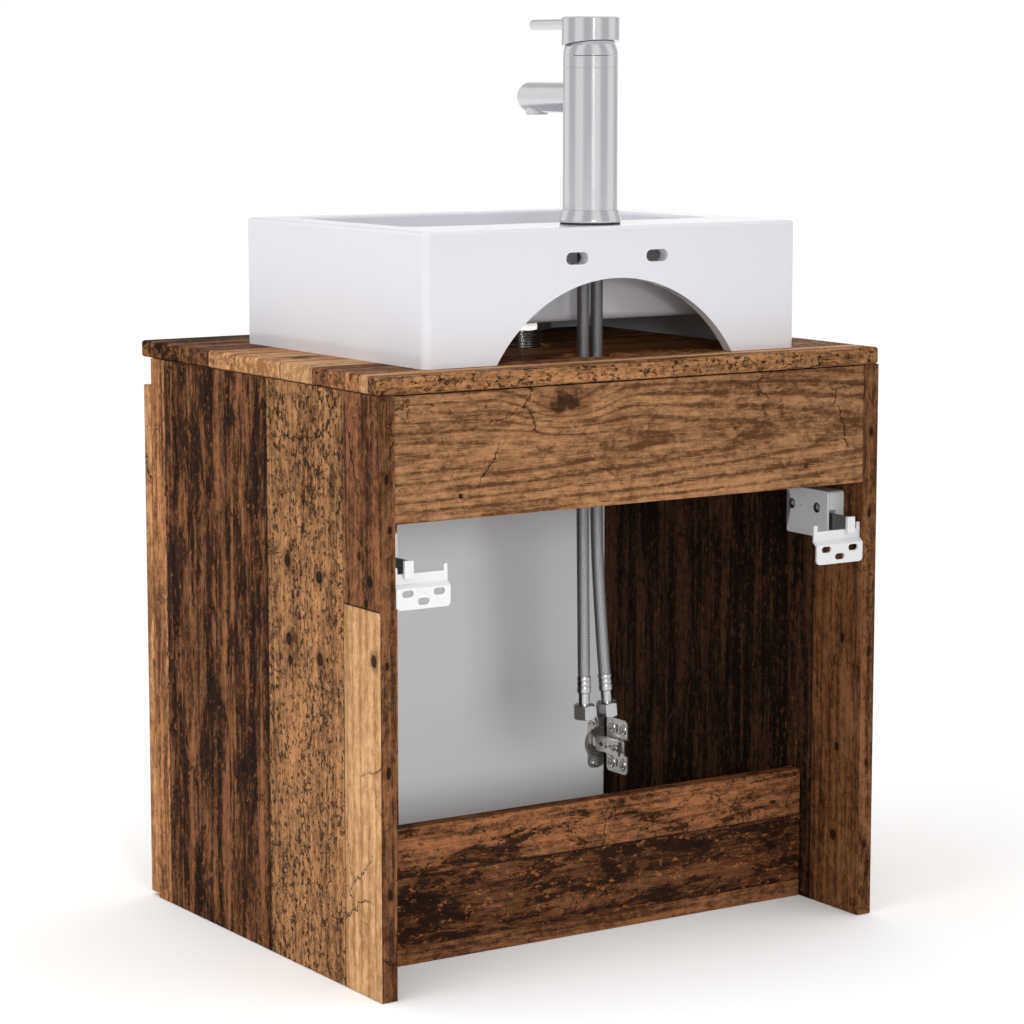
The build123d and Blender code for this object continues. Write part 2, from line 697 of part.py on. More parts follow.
def tap_aerator():
    z = BASIN_TOP + SPOUT_RISE - SPOUT_RADIUS
    y = TAP_Y - AERATOR_REACH
    ring = rod(0, y, z - AERATOR_DROP, AERATOR_RADIUS, AERATOR_DEPTH + AERATOR_DROP)
    return ring - rod(0, y, z - AERATOR_DROP - 1, AERATOR_RADIUS - AERATOR_WALL, 2 * AERATOR_DROP + 1)


def tap_stud():
    low, high = STUD_RISE
    return rod(0, STUD_Y, BASIN_TOP + low, STUD_RADIUS, high - low)


def tap_clamp():
    top = BASIN_TOP - DECK
    plate = rod(0, TAP_Y, top - CLAMP_THICKNESS, CLAMP_RADIUS, CLAMP_THICKNESS)
    plate -= block(
        (-CLAMP_SLOT, CLAMP_SLOT),
        (CLAMP_SLOT_Y, TAP_Y + CLAMP_RADIUS + 1),
        (top - CLAMP_THICKNESS - 1, top + 1),
    )
    return plate - tap_stud()


def tap_stud_nut():
    z = BASIN_TOP - DECK - CLAMP_THICKNESS - STUD_NUT
    return hexagon(0, STUD_Y, z, STUD_NUT_FLATS, STUD_NUT) - tap_stud()


# Hoses


def hose_tube(side):
    """The hose as straight runs joined by large tangent arcs; prints its radii and length."""
    points = [Vector(*point) for point in HOSE_ROUTES[side]]
    runs = [after - before for before, after in zip(points, points[1:])]
    radii = []
    for before, after in zip(runs, runs[1:]):
        half_turn = radians(before.get_angle(after)) / 2
        radii.append(0.45 * min(before.length, after.length) / tan(half_turn))
    path = FilletPolyline(*points, radius=radii)
    section = Plane(origin=points[0], z_dir=runs[0]) * Circle(HOSE_DIAMETER / 2)
    tube = sweep(section, path=path)
    expected = section.area * path.length
    print(f"hose_{side}: radii {[round(value) for value in radii]} mm, length {path.length:.1f} mm")
    print(f"hose_{side}: volume {tube.volume:.0f} of {expected:.0f} mm3")
    return tube


def hose_end(side):
    """The point where a hose ends and the direction in which it leaves."""
    last, end = HOSE_ROUTES[side][-2:]
    return Vector(*end), (Vector(*end) - Vector(*last)).normalized()


def hose_inlet(side):
    x, y, z = HOSE_ROUTES[side][0]
    sleeve = rod(x, y, z, INLET_SLEEVE_RADIUS, INLET_SLEEVE)
    return sleeve + rod(x, y, z + INLET_SLEEVE, INLET_RADIUS, INLET_THREAD)


def hose_ferrule(side):
    end, way = hose_end(side)
    collar = end + way * (SLEEVE_LENGTH + NECK_LENGTH - COLLAR_LENGTH)
    ferrule = rod(*end, SLEEVE_RADIUS, SLEEVE_LENGTH, way)
    ferrule += rod(*end, NECK_RADIUS, SLEEVE_LENGTH + NECK_LENGTH, way)
    return ferrule + rod(*collar, COLLAR_RADIUS, COLLAR_LENGTH, way)


def hose_nut(side):
    end, way = hose_end(side)
    seat = SLEEVE_LENGTH + NECK_LENGTH - COLLAR_LENGTH - NUT_CLEARANCE
    top = end + way * (seat - NUT_LIP)
    nut = hexagon(*top, NUT_FLATS, NUT_LENGTH, way)
    nut -= rod(*(top - way), NECK_RADIUS + NUT_CLEARANCE, NUT_LIP + 2, way)
    return nut - rod(*(top + way * NUT_LIP), NUT_BORE, NUT_LENGTH, way)


SIDES = ("left", "right")

save("bottom_panel", block((-INNER_X, INNER_X), (PANEL_FRONT, BOTTOM_RAIL_BACK), (0, BOARD)))
save("countertop", countertop())
save("top_rear_rail", top_rear_rail())
save(
    "bottom_rear_rail",
    block(
        (-INNER_X, INNER_X),
        (BOTTOM_RAIL_BACK - BOARD, BOTTOM_RAIL_BACK),
        (BOARD, BOARD + BOTTOM_RAIL_HEIGHT),
    ),
)
front_rail_y = PANEL_FRONT + FRONT_RAIL_SETBACK
save(
    "front_rail",
    block(
        (-INNER_X, INNER_X),
        (front_rail_y, front_rail_y + FRONT_RAIL_DEPTH),
        (PANEL_HEIGHT - BOARD, PANEL_HEIGHT),
    ),
)
all_plate_screws = []
all_arm_screws = []
all_box_screws = []
for side in SIDES:
    save(f"side_panel_{side}", put_side(side, side_panel()))
    save(f"door_{side}", put_side(side, door()))
    pins = []
    flange_screws = []
    for level, height in HINGE_HEIGHTS.items():
        save(f"hinge_arm_{side}_{level}", put_side(side, hinge_arm(height)))
        save(f"hinge_plate_{side}_{level}", put_side(side, hinge_plate(height)))
        save(f"hinge_cup_{side}_{level}", put_side(side, hinge_cup(height)))
        pins.append(put_side(side, hinge_pin(height)))
        flange_screws += [put_side(side, screw) for screw in cup_screws(height)]
        all_plate_screws += [put_side(side, screw) for screw in plate_screws(height)]
        all_arm_screws += [put_side(side, screw) for screw in arm_screws(height)]
    save(f"hinge_pins_{side}", *pins)
    save(f"hinge_cup_screws_{side}", *flange_screws)
    save(f"hanger_box_{side}", put_side(side, hanger_box()))
    save(f"hanger_hook_{side}", put_side(side, hanger_hook()))
    save(f"wall_plate_{side}", put_side(side, wall_plate()))
    all_box_screws += [put_side(side, screw) for screw in hanger_screws()]
    save(f"hose_{side}", hose_tube(side))
    save(f"hose_inlet_{side}", hose_inlet(side))
    save(f"hose_ferrule_{side}", hose_ferrule(side))
    save(f"hose_nut_{side}", hose_nut(side))
save("hinge_plate_screws", *all_plate_screws)
save("hinge_arm_screws", *all_arm_screws)
save("hanger_box_screws", *all_box_screws)

save("basin", basin())
save("drain_body", drain_body())
save("drain_washer", drain_washer())
save("drain_nut", drain_nut())
save("waste_plug", waste_plug())

save("tap_body", tap_body())
save("tap_gasket", tap_gasket())
save("tap_cap_ring", tap_cap_ring())
save("tap_cartridge", tap_cartridge())
save("tap_spout", tap_spout())
save("tap_aerator", tap_aerator())
save("tap_stud", tap_stud())
save("tap_clamp_washer", tap_clamp())
save("tap_stud_nut", tap_stud_nut())
save("tap_spindle", tap_spindle())
save("tap_stem", tap_stem())
save("tap_head", tap_head())
save("tap_lever_rod", lever_rod())
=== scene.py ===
import json
import math

import bmesh
import bpy
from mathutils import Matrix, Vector


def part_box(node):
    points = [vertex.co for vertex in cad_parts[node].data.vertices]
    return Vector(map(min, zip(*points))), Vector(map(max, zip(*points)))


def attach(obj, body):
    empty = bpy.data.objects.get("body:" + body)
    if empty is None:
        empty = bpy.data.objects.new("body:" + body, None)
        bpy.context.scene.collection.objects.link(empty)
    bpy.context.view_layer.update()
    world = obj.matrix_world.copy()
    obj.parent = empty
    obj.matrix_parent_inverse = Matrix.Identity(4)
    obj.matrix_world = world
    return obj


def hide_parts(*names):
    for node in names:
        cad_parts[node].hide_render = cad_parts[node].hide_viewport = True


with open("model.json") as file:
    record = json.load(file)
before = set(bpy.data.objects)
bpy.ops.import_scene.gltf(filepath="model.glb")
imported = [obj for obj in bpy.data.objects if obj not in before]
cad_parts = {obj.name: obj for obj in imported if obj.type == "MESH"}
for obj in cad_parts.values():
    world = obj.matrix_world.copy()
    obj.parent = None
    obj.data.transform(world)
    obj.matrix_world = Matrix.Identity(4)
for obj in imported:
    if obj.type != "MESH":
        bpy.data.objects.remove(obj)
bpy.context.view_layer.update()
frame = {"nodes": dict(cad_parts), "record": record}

mm = 0.001
print("frame loaded:", len(frame["nodes"]), "nodes")

# studio and camera

studio = {
    "cameraPlace": (1.6476, 2.5331, 0.8144),
    "azimuth": 146.84,      # degrees round the cabinet, 0 faces the doors
    "elevation": 8.05,
    "lens": 111.3,
    "sensor": 36,
    "floorSize": 24,
    "floorHeight": -0.0004,
    "floorTone": (0.985, 0.985, 0.985),
    "skyTone": (1.0, 1.0, 1.0, 1.0),
    "skyStrength": 1.08,
    "seenStrength": 1.0,
    "overhead": (0.8, 0.6),     # how much brighter the sky is straight up, and its share at the horizon
    # the upright bands that metal and glaze reflect: how many, turned by, edges, the two tones
    "bands": (5.0, 0.9, 0.15, 0.85, (0.65, 0.65, 0.66, 1), (1.0, 1.0, 1.0, 1)),
    "lampAim": (0, 0, 0.4),
    # name, place, size, power
    "lamps": [
        ("sideLamp", (3.6, 0.6, 2.4), 2.6, 35),
        ("fillLamp", (1.3, 2.9, 1.1), 1.2, 3),
    ],
    # the narrow lamp that reaches through the open back
    "innerLamp": {"place": (0.9, 2.3, 0.7), "aim": (-0.04, -0.1, 0.12), "power": 158, "cone": 23,
                  "size": 0.28},
}


def placeCamera(values):
    azimuth, elevation = math.radians(values["azimuth"]), math.radians(values["elevation"])
    back = Vector((
        math.sin(azimuth) * math.cos(elevation),
        -math.cos(azimuth) * math.cos(elevation),
        math.sin(elevation),
    ))
    bpy.ops.object.camera_add(location=values["cameraPlace"])
    camera = bpy.context.object
    camera.name = "studioCamera"
    camera.rotation_mode = "QUATERNION"
    camera.rotation_quaternion = (-back).to_track_quat("-Z", "Y")
    camera.data.sensor_width = values["sensor"]
    camera.data.lens = values["lens"]
    bpy.context.scene.camera = camera


def addLamp(kind, name, place, aim, power):
    bpy.ops.object.light_add(type=kind, location=place)
    lamp = bpy.context.object
    lamp.name = name
    lamp.data.energy = power
    lamp.rotation_euler = (Vector(aim) - Vector(place)).to_track_quat("-Z", "Y").to_euler()
    return lamp


def placeLamps(values):
    for name, place, size, power in values["lamps"]:
        lamp = addLamp("AREA", name, place, values["lampAim"], power)
        lamp.data.size = size
        lamp.visible_glossy = False
    inner = values["innerLamp"]
    lamp = addLamp("SPOT", "innerLamp", inner["place"], inner["aim"], inner["power"])
    lamp.data.spot_size = math.radians(inner["cone"])
    lamp.data.spot_blend = 1.0
    lamp.data.shadow_soft_size = inner["size"]


placeCamera(studio)
placeLamps(studio)
print("camera and lamps placed")

# node helpers


def put(tree, kind, **settings):
    node = tree.nodes.new(kind)
    for key, value in settings.items():
        setattr(node, key, value)
    return node


def wire(node, values):
    # a socket is linked, anything else is typed in
    for key, value in values.items():
        if isinstance(value, bpy.types.NodeSocket):
            node.id_data.links.new(value, node.inputs[key])
        else:
            node.inputs[key].default_value = value
    return node


def calc(operation, *values, clamp=False):
    tree = next(value for value in values if isinstance(value, bpy.types.NodeSocket)).id_data
    node = put(tree, "ShaderNodeMath", operation=operation, use_clamp=clamp)
    return wire(node, dict(enumerate(values))).outputs[0]


def times(first, second):
    return calc("MULTIPLY", first, second)


def minus(first, second):
    return calc("SUBTRACT", first, second)


def sway(layer, weight, base, **settings):
    # a layer of noise, weighted round its middle and added to the base
    return calc("MULTIPLY_ADD", minus(layer, 0.5), weight, base, **settings)


def blendTone(amount, first, second):
    node = put(amount.id_data, "ShaderNodeMix", data_type="RGBA")
    return wire(node, {0: amount, 6: first, 7: second}).outputs[2]


def stain(colour, mask, share, shade):
    return blendTone(times(mask, share), colour, tone(*shade))


def fade(value, low, high, start=0.0, end=1.0):
    node = put(value.id_data, "ShaderNodeMapRange", interpolation_type="SMOOTHSTEP")
    return wire(node, {0: value, 1: low, 2: high, 3: start, 4: end}).outputs[0]


def stretched(vector, scale, shift=(0, 0, 0)):
    node = put(vector.id_data, "ShaderNodeMapping")
    return wire(node, {"Vector": vector, "Scale": scale, "Location": shift}).outputs[0]


def noise(vector, detail, roughness, distortion=0.0):
    node = put(vector.id_data, "ShaderNodeTexNoise")
    return wire(node, {"Vector": vector, "Scale": 1.0, "Detail": detail, "Roughness": roughness,
                       "Distortion": distortion}).outputs[0]


def ramp(value, stops, interpolation="CONSTANT"):
    node = put(value.id_data, "ShaderNodeValToRGB")
    node.color_ramp.interpolation = interpolation
    points = node.color_ramp.elements
    while len(points) < len(stops):
        points.new(0.5)
    while len(points) > len(stops):
        points.remove(points[-1])
    for point, (place, colour) in zip(points, sorted(stops, key=lambda stop: stop[0])):
        point.position = place
        point.color = colour
    wire(node, {0: value})
    return node.outputs


def tone(red, green, blue):
    # screen colour, 0 to 255, to scene colour
    return tuple(((value / 255 + 0.055) / 1.055) ** 2.4 for value in (red, green, blue)) + (1.0,)


def relief(height, strength, distance):
    node = put(height.id_data, "ShaderNodeBump")
    return wire(node, {"Strength": strength, "Distance": distance, "Height": height}).outputs[0]


def ownPlace(tree, output="Object"):
    return put(tree, "ShaderNodeTexCoord").outputs[output]


def axesOf(tree, output="Object"):
    return wire(put(tree, "ShaderNodeSeparateXYZ"), {0: ownPlace(tree, output)}).outputs


def startGroup(name, inputs, outputs):
    tree = bpy.data.node_groups.new(name, "ShaderNodeTree")
    kinds = {"value": "NodeSocketFloat", "colour": "NodeSocketColor", "vector": "NodeSocketVector"}
    for title, kind in inputs:
        tree.interface.new_socket(name=title, in_out="INPUT", socket_type=kinds[kind])
    for title, kind in outputs:
        tree.interface.new_socket(name=title, in_out="OUTPUT", socket_type=kinds[kind])
    return tree, put(tree, "NodeGroupInput").outputs, put(tree, "NodeGroupOutput")


def useGroup(tree, group, values):
    node = put(tree, "ShaderNodeGroup", node_tree=group)
    return wire(node, values).outputs


def startMaterial(name, **shaderValues):
    material = bpy.data.materials.new(name)
    material.use_nodes = True
    tree = material.node_tree
    shader = tree.nodes["Principled BSDF"]
    for key, value in shaderValues.items():
        shader.inputs[key.replace("_", " ")].default_value = value
    return material, tree, shader


# old wood, printed on board

# layers of noise in the wood: scale across and along the grain, detail, roughness, distortion
woodLayers = {
    "fibre": (1400, 60, 2, 0.6), "grain": (210, 13, 7, 0.68, 0.4), "mottle": (150, 95, 9, 0.78, 0.5),
    "streak": (70, 3.2, 7, 0.7, 0.3), "cloud": (30, 8, 4, 0.6, 0.5), "stain": (44, 14, 12, 0.78, 0.5),
    "dash": (230, 165, 6, 0.7, 0.4), "speck": (220, 120, 6, 0.7), "wobble": (60, 9, 5, 0.6),
}


def makeOldWood(values):
    inputs = [("Vector", "vector"), ("Seed", "value"), ("Rings", "value"), ("Light", "colour"),
              ("Dark", "colour"), ("Streak", "value"), ("Blotch", "value"), ("Fleck", "value"),
              ("Ring", "value")]
    outputs = [("Color", "colour"), ("Height", "value"), ("Roughness", "value")]
    tree, given, result = startGroup("oldWood", inputs, outputs)
    shift = wire(put(tree, "ShaderNodeCombineXYZ"), {axis: given["Seed"] for axis in range(3)})
    add = put(tree, "ShaderNodeVectorMath", operation="ADD")
    place = wire(add, {0: given["Vector"], 1: shift.outputs[0]}).outputs[0]

    layers = {}
    for name, (across, along, *settings) in values.items():
        layers[name] = noise(stretched(place, (across, across, along)), *settings)
    fibre, grain, mottle, cloud, wobble = map(layers.get, ("fibre", "grain", "mottle", "cloud", "wobble"))

    bands = calc("SINE", calc("ADD", given["Rings"], times(wobble, 6.0)))
    bands = fade(bands, 0.1, 1.0)
    ringShare = times(bands, given["Ring"])

    # how light the wood is, from the dark tone to the light one
    body = 0.62
    for layer, weight in ((grain, 1.7), (fibre, 1.2), (mottle, 3.0), (cloud, 1.4)):
        body = sway(layer, weight, body)
    body = minus(body, times(ringShare, 0.7))
    longDark = times(fade(layers["streak"], 0.58, 0.40), given["Streak"])
    body = calc("SUBTRACT", body, times(longDark, 0.8), clamp=True)
    colour = blendTone(body, given["Dark"], given["Light"])

    # ragged near-black stains, broken up by the finer mottling
    edge = calc("MULTIPLY_ADD", given["Blotch"], -0.22, 0.71)
    edge = sway(cloud, 0.30, edge)
    rough = sway(mottle, 0.45, layers["stain"])
    black = fade(minus(rough, edge), -0.01, 0.03)
    black = times(black, fade(given["Blotch"], 0.0, 0.1))
    colour = stain(colour, black, 0.9, (24, 15, 11))

    # short dark dashes
    level = calc("MULTIPLY_ADD", given["Fleck"], -0.12, 0.69)
    level = sway(wobble, 0.22, level)
    dashes = fade(minus(layers["dash"], level), 0.0, 0.035)
    colour = stain(colour, dashes, 0.88, (32, 19, 12))

    # orange fibres that show through the stains
    sparks = fade(layers["speck"], 0.565, 0.65)
    sparks = times(sparks, calc("MULTIPLY_ADD", given["Blotch"], 0.7, 0.12))
    colour = stain(colour, sparks, 0.7, (158, 98, 56))

    # pale scuffs
    scuff = noise(stretched(place, (330, 330, 34), (3, 1, 2)), 8, 0.75)
    pale = times(fade(scuff, 0.67, 0.73), 0.7)
    colour = blendTone(pale, colour, tone(222, 188, 148))

    # wandering hairline cracks, seen only here and there
    bend = put(tree, "ShaderNodeVectorMath", operation="MULTIPLY_ADD")
    drift = put(tree, "ShaderNodeTexNoise")
    wire(drift, {"Vector": place, "Scale": 42.0, "Detail": 5.0, "Roughness": 0.65})
    wire(bend, {0: drift.outputs["Color"], 1: (0.035, 0.035, 0.035), 2: place})
    cells = put(tree, "ShaderNodeTexVoronoi", feature="DISTANCE_TO_EDGE")
    wire(cells, {"Vector": stretched(bend.outputs[0], (1, 1, 0.75)), "Scale": 17.0})
    shown = fade(noise(stretched(place, (14, 14, 11), (5, 2, 9)), 3, 0.55), 0.52, 0.62)
    crackle = times(fade(cells.outputs[0], 0.018, 0.006), shown)
    colour = stain(colour, crackle, 0.8, (28, 18, 13))
    dashes = calc("MAXIMUM", dashes, crackle)

    height = calc("MULTIPLY_ADD", fibre, 0.25, times(grain, 0.5))
    for mark, weight in ((black, 0.35), (dashes, 0.4), (ringShare, 0.2)):
        height = minus(height, times(mark, weight))
    roughness = calc("MULTIPLY_ADD", grain, 0.18, 0.47)
    roughness = calc("MULTIPLY_ADD", black, 0.08, roughness)
    wire(result, {"Color": colour, "Height": height, "Roughness": roughness})
    return tree


oldWood = makeOldWood(woodLayers)

# each kind of plank: light tone, dark tone, and its shares of streaks, stains, flecks and rings
plankKinds = {
    "amber": ((196, 136, 88), (84, 52, 31), (0.5, 0.15, 0.35, 0.3)),
    "charred": ((142, 92, 58), (44, 26, 16), (0.8, 0.85, 0.50, 0.1)),
    "flecked": ((180, 129, 85), (70, 43, 25), (0.2, 0.25, 1.30, 0.1)),
    "russet": ((144, 93, 60), (50, 29, 18), (0.6, 0.40, 0.60, 0.2)),
    "blonde": ((206, 162, 117), (150, 108, 70), (0.3, 0.00, 0.05, 0.5)),
    "pine": ((160, 116, 79), (82, 52, 31), (0.25, 0.22, 0.20, 0.55)),
    "tan": ((206, 154, 106), (118, 78, 48), (0.45, 0.25, 0.45, 0.2)),
    "straw": ((216, 168, 118), (140, 96, 60), (0.60, 0.05, 0.12, 0.5)),
    "sooty": ((88, 58, 38), (24, 15, 11), (0.9, 0.35, 0.25, 0.1)),
    "scorched": ((104, 66, 42), (44, 27, 18), (0.5, 1.00, 0.60, 0.1)),
    "pitted": ((172, 122, 80), (66, 41, 25), (0.2, 0.50, 1.20, 0.1)),
    "stained": ((142, 92, 58), (52, 31, 19), (0.4, 0.78, 0.80, 0.1)),
    # near-black plank of the panels' inner faces: partly the print's dark wood, partly painted shade of the cabinet's
    # inside
    "shadedNight": ((82, 56, 38), (20, 13, 9), (0.9, 0.30, 0.20, 0.1)),
    "umber": ((130, 86, 54), (54, 34, 22), (0.5, 0.20, 0.50, 0.3)),
}


def farFrom(value, middle):
    return calc("ABSOLUTE", minus(value, middle))


def within(value, start, end):
    # where a value lies between two places, how far it is from their middle, and half their distance
    middle, half = (start + end) / 2 * mm, (end - start) / 2 * mm
    far = farFrom(value, middle)
    return calc("LESS_THAN", far, half), far, half


def farRound(side, up):
    return calc("SQRT", calc("ADD", calc("POWER", side, 2.0), calc("POWER", up, 2.0)))


def spotMask(across, along, spot):
    # one nail hole or knot: across, along, radius and how much longer than wide, all in mm
    acrossPlace, alongPlace, radius, longer = spot
    side = minus(across, acrossPlace * mm)
    up = calc("DIVIDE", minus(along, alongPlace * mm), longer)
    return farRound(side, up), radius * mm


def crackMask(across, along, wander, crack):
    # one crack: its two ends and its width, in mm
    startAcross, startAlong, endAcross, endAlong, width = [value * mm for value in crack]
    run = Vector((endAcross - startAcross, endAlong - startAlong))
    length = run.length
    run.normalize()
    side = minus(across, (startAcross + endAcross) / 2)
    up = minus(along, (startAlong + endAlong) / 2)
    down = calc("ABSOLUTE", calc("ADD", times(side, run.x), times(up, run.y)))
    off = minus(times(side, run.y), times(up, run.x))
    off = calc("ABSOLUTE", sway(wander, 0.016, off))
    inside = fade(down, length / 2, length / 2 - 0.004)
    return times(fade(off, width, width * 0.35), inside)


def makePrint(name, axes, span, planks, patches=(), holes=(), cracks=(), knots=(), arch=None, seed=0.0):
    # axes: which way the planks lie side by side, the board's depth, and the grain's way
    # planks: where each starts, in mm, and its kind; patches: shorter lengths set in
    material, tree, shader = startMaterial(name, Specular_IOR_Level=0.02)
    parts = axesOf(tree)
    across, depth, along = [parts["XYZ".index(axis)] for axis in axes]
    place = wire(put(tree, "ShaderNodeCombineXYZ"), {0: across, 1: depth, 2: along}).outputs[0]
    low, high = span

    position = times(minus(across, low * mm), 0.8 / ((high - low) * mm))
    slots = [((start - low) / (high - low) * 0.8, kind) for start, kind in planks]
    seam = []
    for slot, _ in slots[1:]:
        half = 0.7 / (high - low) * 0.8
        seam += [(slot - 2 * half, (0, 0, 0, 1)), (slot, (1, 1, 1, 1)), (slot + 2 * half, (0, 0, 0, 1))]
    seams = ramp(position, [(0.0, (0, 0, 0, 1))] + seam, "LINEAR")[0]
    for number, (acrossLow, acrossHigh, alongLow, alongHigh, kind) in enumerate(patches):
        slot = 0.82 + 0.18 * number / len(patches)
        slots.append((slot, kind))
        inStrip = within(across, acrossLow, acrossHigh)[0]
        inLength, far, half = within(along, alongLow, alongHigh)
        line = fade(farFrom(far, half), 0.0012, 0.0004)
        seams = calc("MAXIMUM", seams, times(line, inStrip))
        inside = times(inStrip, inLength)
        shift = times(minus(slot + 0.005, position), inside)
        position = calc("ADD", position, shift)

    light, dark, marks = [
        ramp(position, [(slot, convert(plankKinds[kind][part])) for slot, kind in slots])
        for part, convert in enumerate((lambda shade: tone(*shade), lambda shade: tone(*shade), tuple))]
    steps = [(slot, (index / 12, index / 12, index / 12, 1)) for index, (slot, kind) in enumerate(slots)]
    number = ramp(position, steps)[0]
    seedValue = calc("MULTIPLY_ADD", number, 37.0, seed)
    shares = wire(put(tree, "ShaderNodeSeparateColor"), {0: marks[0]}).outputs

    if arch:
        # a pointed cathedral figure: nested long ovals round one middle
        archAcross, archAlong, archWide, archLong = [value * mm for value in arch]
        side = calc("DIVIDE", minus(across, archAcross), archWide)
        up = calc("DIVIDE", minus(along, archAlong), archLong)
        rings = times(farRound(side, up), 16.0)
    else:
        rings = times(across, 520.0)
    for knot in knots:
        far, radius = spotMask(across, along, knot)
        swirl = times(fade(far, radius * 4.5, 0.0), 16.0)
        rings = calc("ADD", rings, swirl)
    woodParts = useGroup(tree, oldWood, {
        "Vector": place, "Seed": seedValue, "Light": light[0], "Dark": dark[0], "Streak": shares[0],
        "Blotch": shares[1], "Fleck": shares[2], "Ring": marks[1], "Rings": rings})
    colour, height = woodParts["Color"], woodParts["Height"]

    wander = noise(stretched(place, (95, 95, 95)), 5, 0.6)
    ragged = times(minus(wander, 0.5), 0.03)
    deep = seams
    for knot in knots:
        far, radius = spotMask(across, along, knot)
        rough = calc("ADD", far, ragged)
        halo = fade(rough, radius * 2.2, radius * 0.9, 0.0, 0.6)
        colour = blendTone(halo, colour, tone(92, 58, 36))
        core = fade(rough, radius * 1.15, radius * 0.5)
        deep = calc("MAXIMUM", deep, times(core, 0.9))
    for hole in holes:
        far, radius = spotMask(across, along, hole)
        far = calc("MULTIPLY_ADD", ragged, 0.06, far)
        halo = fade(far, radius * 2.0, radius, 0.0, 0.45)
        colour = blendTone(halo, colour, tone(64, 40, 27))
        deep = calc("MAXIMUM", deep, fade(far, radius, radius * 0.75))
    for crack in cracks:
        deep = calc("MAXIMUM", deep, crackMask(across, along, wander, crack))
    colour = stain(colour, deep, 0.88, (22, 15, 12))
    height = minus(height, times(deep, 0.8))
    normal = relief(height, 0.35, 0.0004)
    wire(shader, {"Base Color": colour, "Roughness": woodParts["Roughness"], "Normal": normal})
    return material


sidePlanks = [(-205, "amber"), (-176, "charred"), (24, "flecked"), (163, "russet")]
sideHoles = [(62, 372, 6.2, 1.15), (64, 300, 6.0, 1.2), (66, 281, 4.6, 1.1), (120, 364, 6.6, 1.0),
             (120, 290, 6.2, 1.1), (208, 372, 5.6, 1.1), (214, 303, 5.4, 1.25), (190, 392, 3.2, 1.4),
             (202, 352, 3.4, 1.4)]
sideCracks = [(26, 482, 70, 484, 1.0), (66, 484, 112, 488, 1.1), (106, 484, 134, 496, 1.2),
              (134, 494, 152, 530, 1.8), (168, 512, 190, 440, 1.5), (26, 375, 52, 376, 1.1),
              (26, 268, 54, 266, 1.0), (-200, 466, -178, 462, 1.0),
              (178, 420, 204, 396, 1.2), (24, 500, 27, 20, 1.1), (-176, 530, -176, 20, 1.6)]
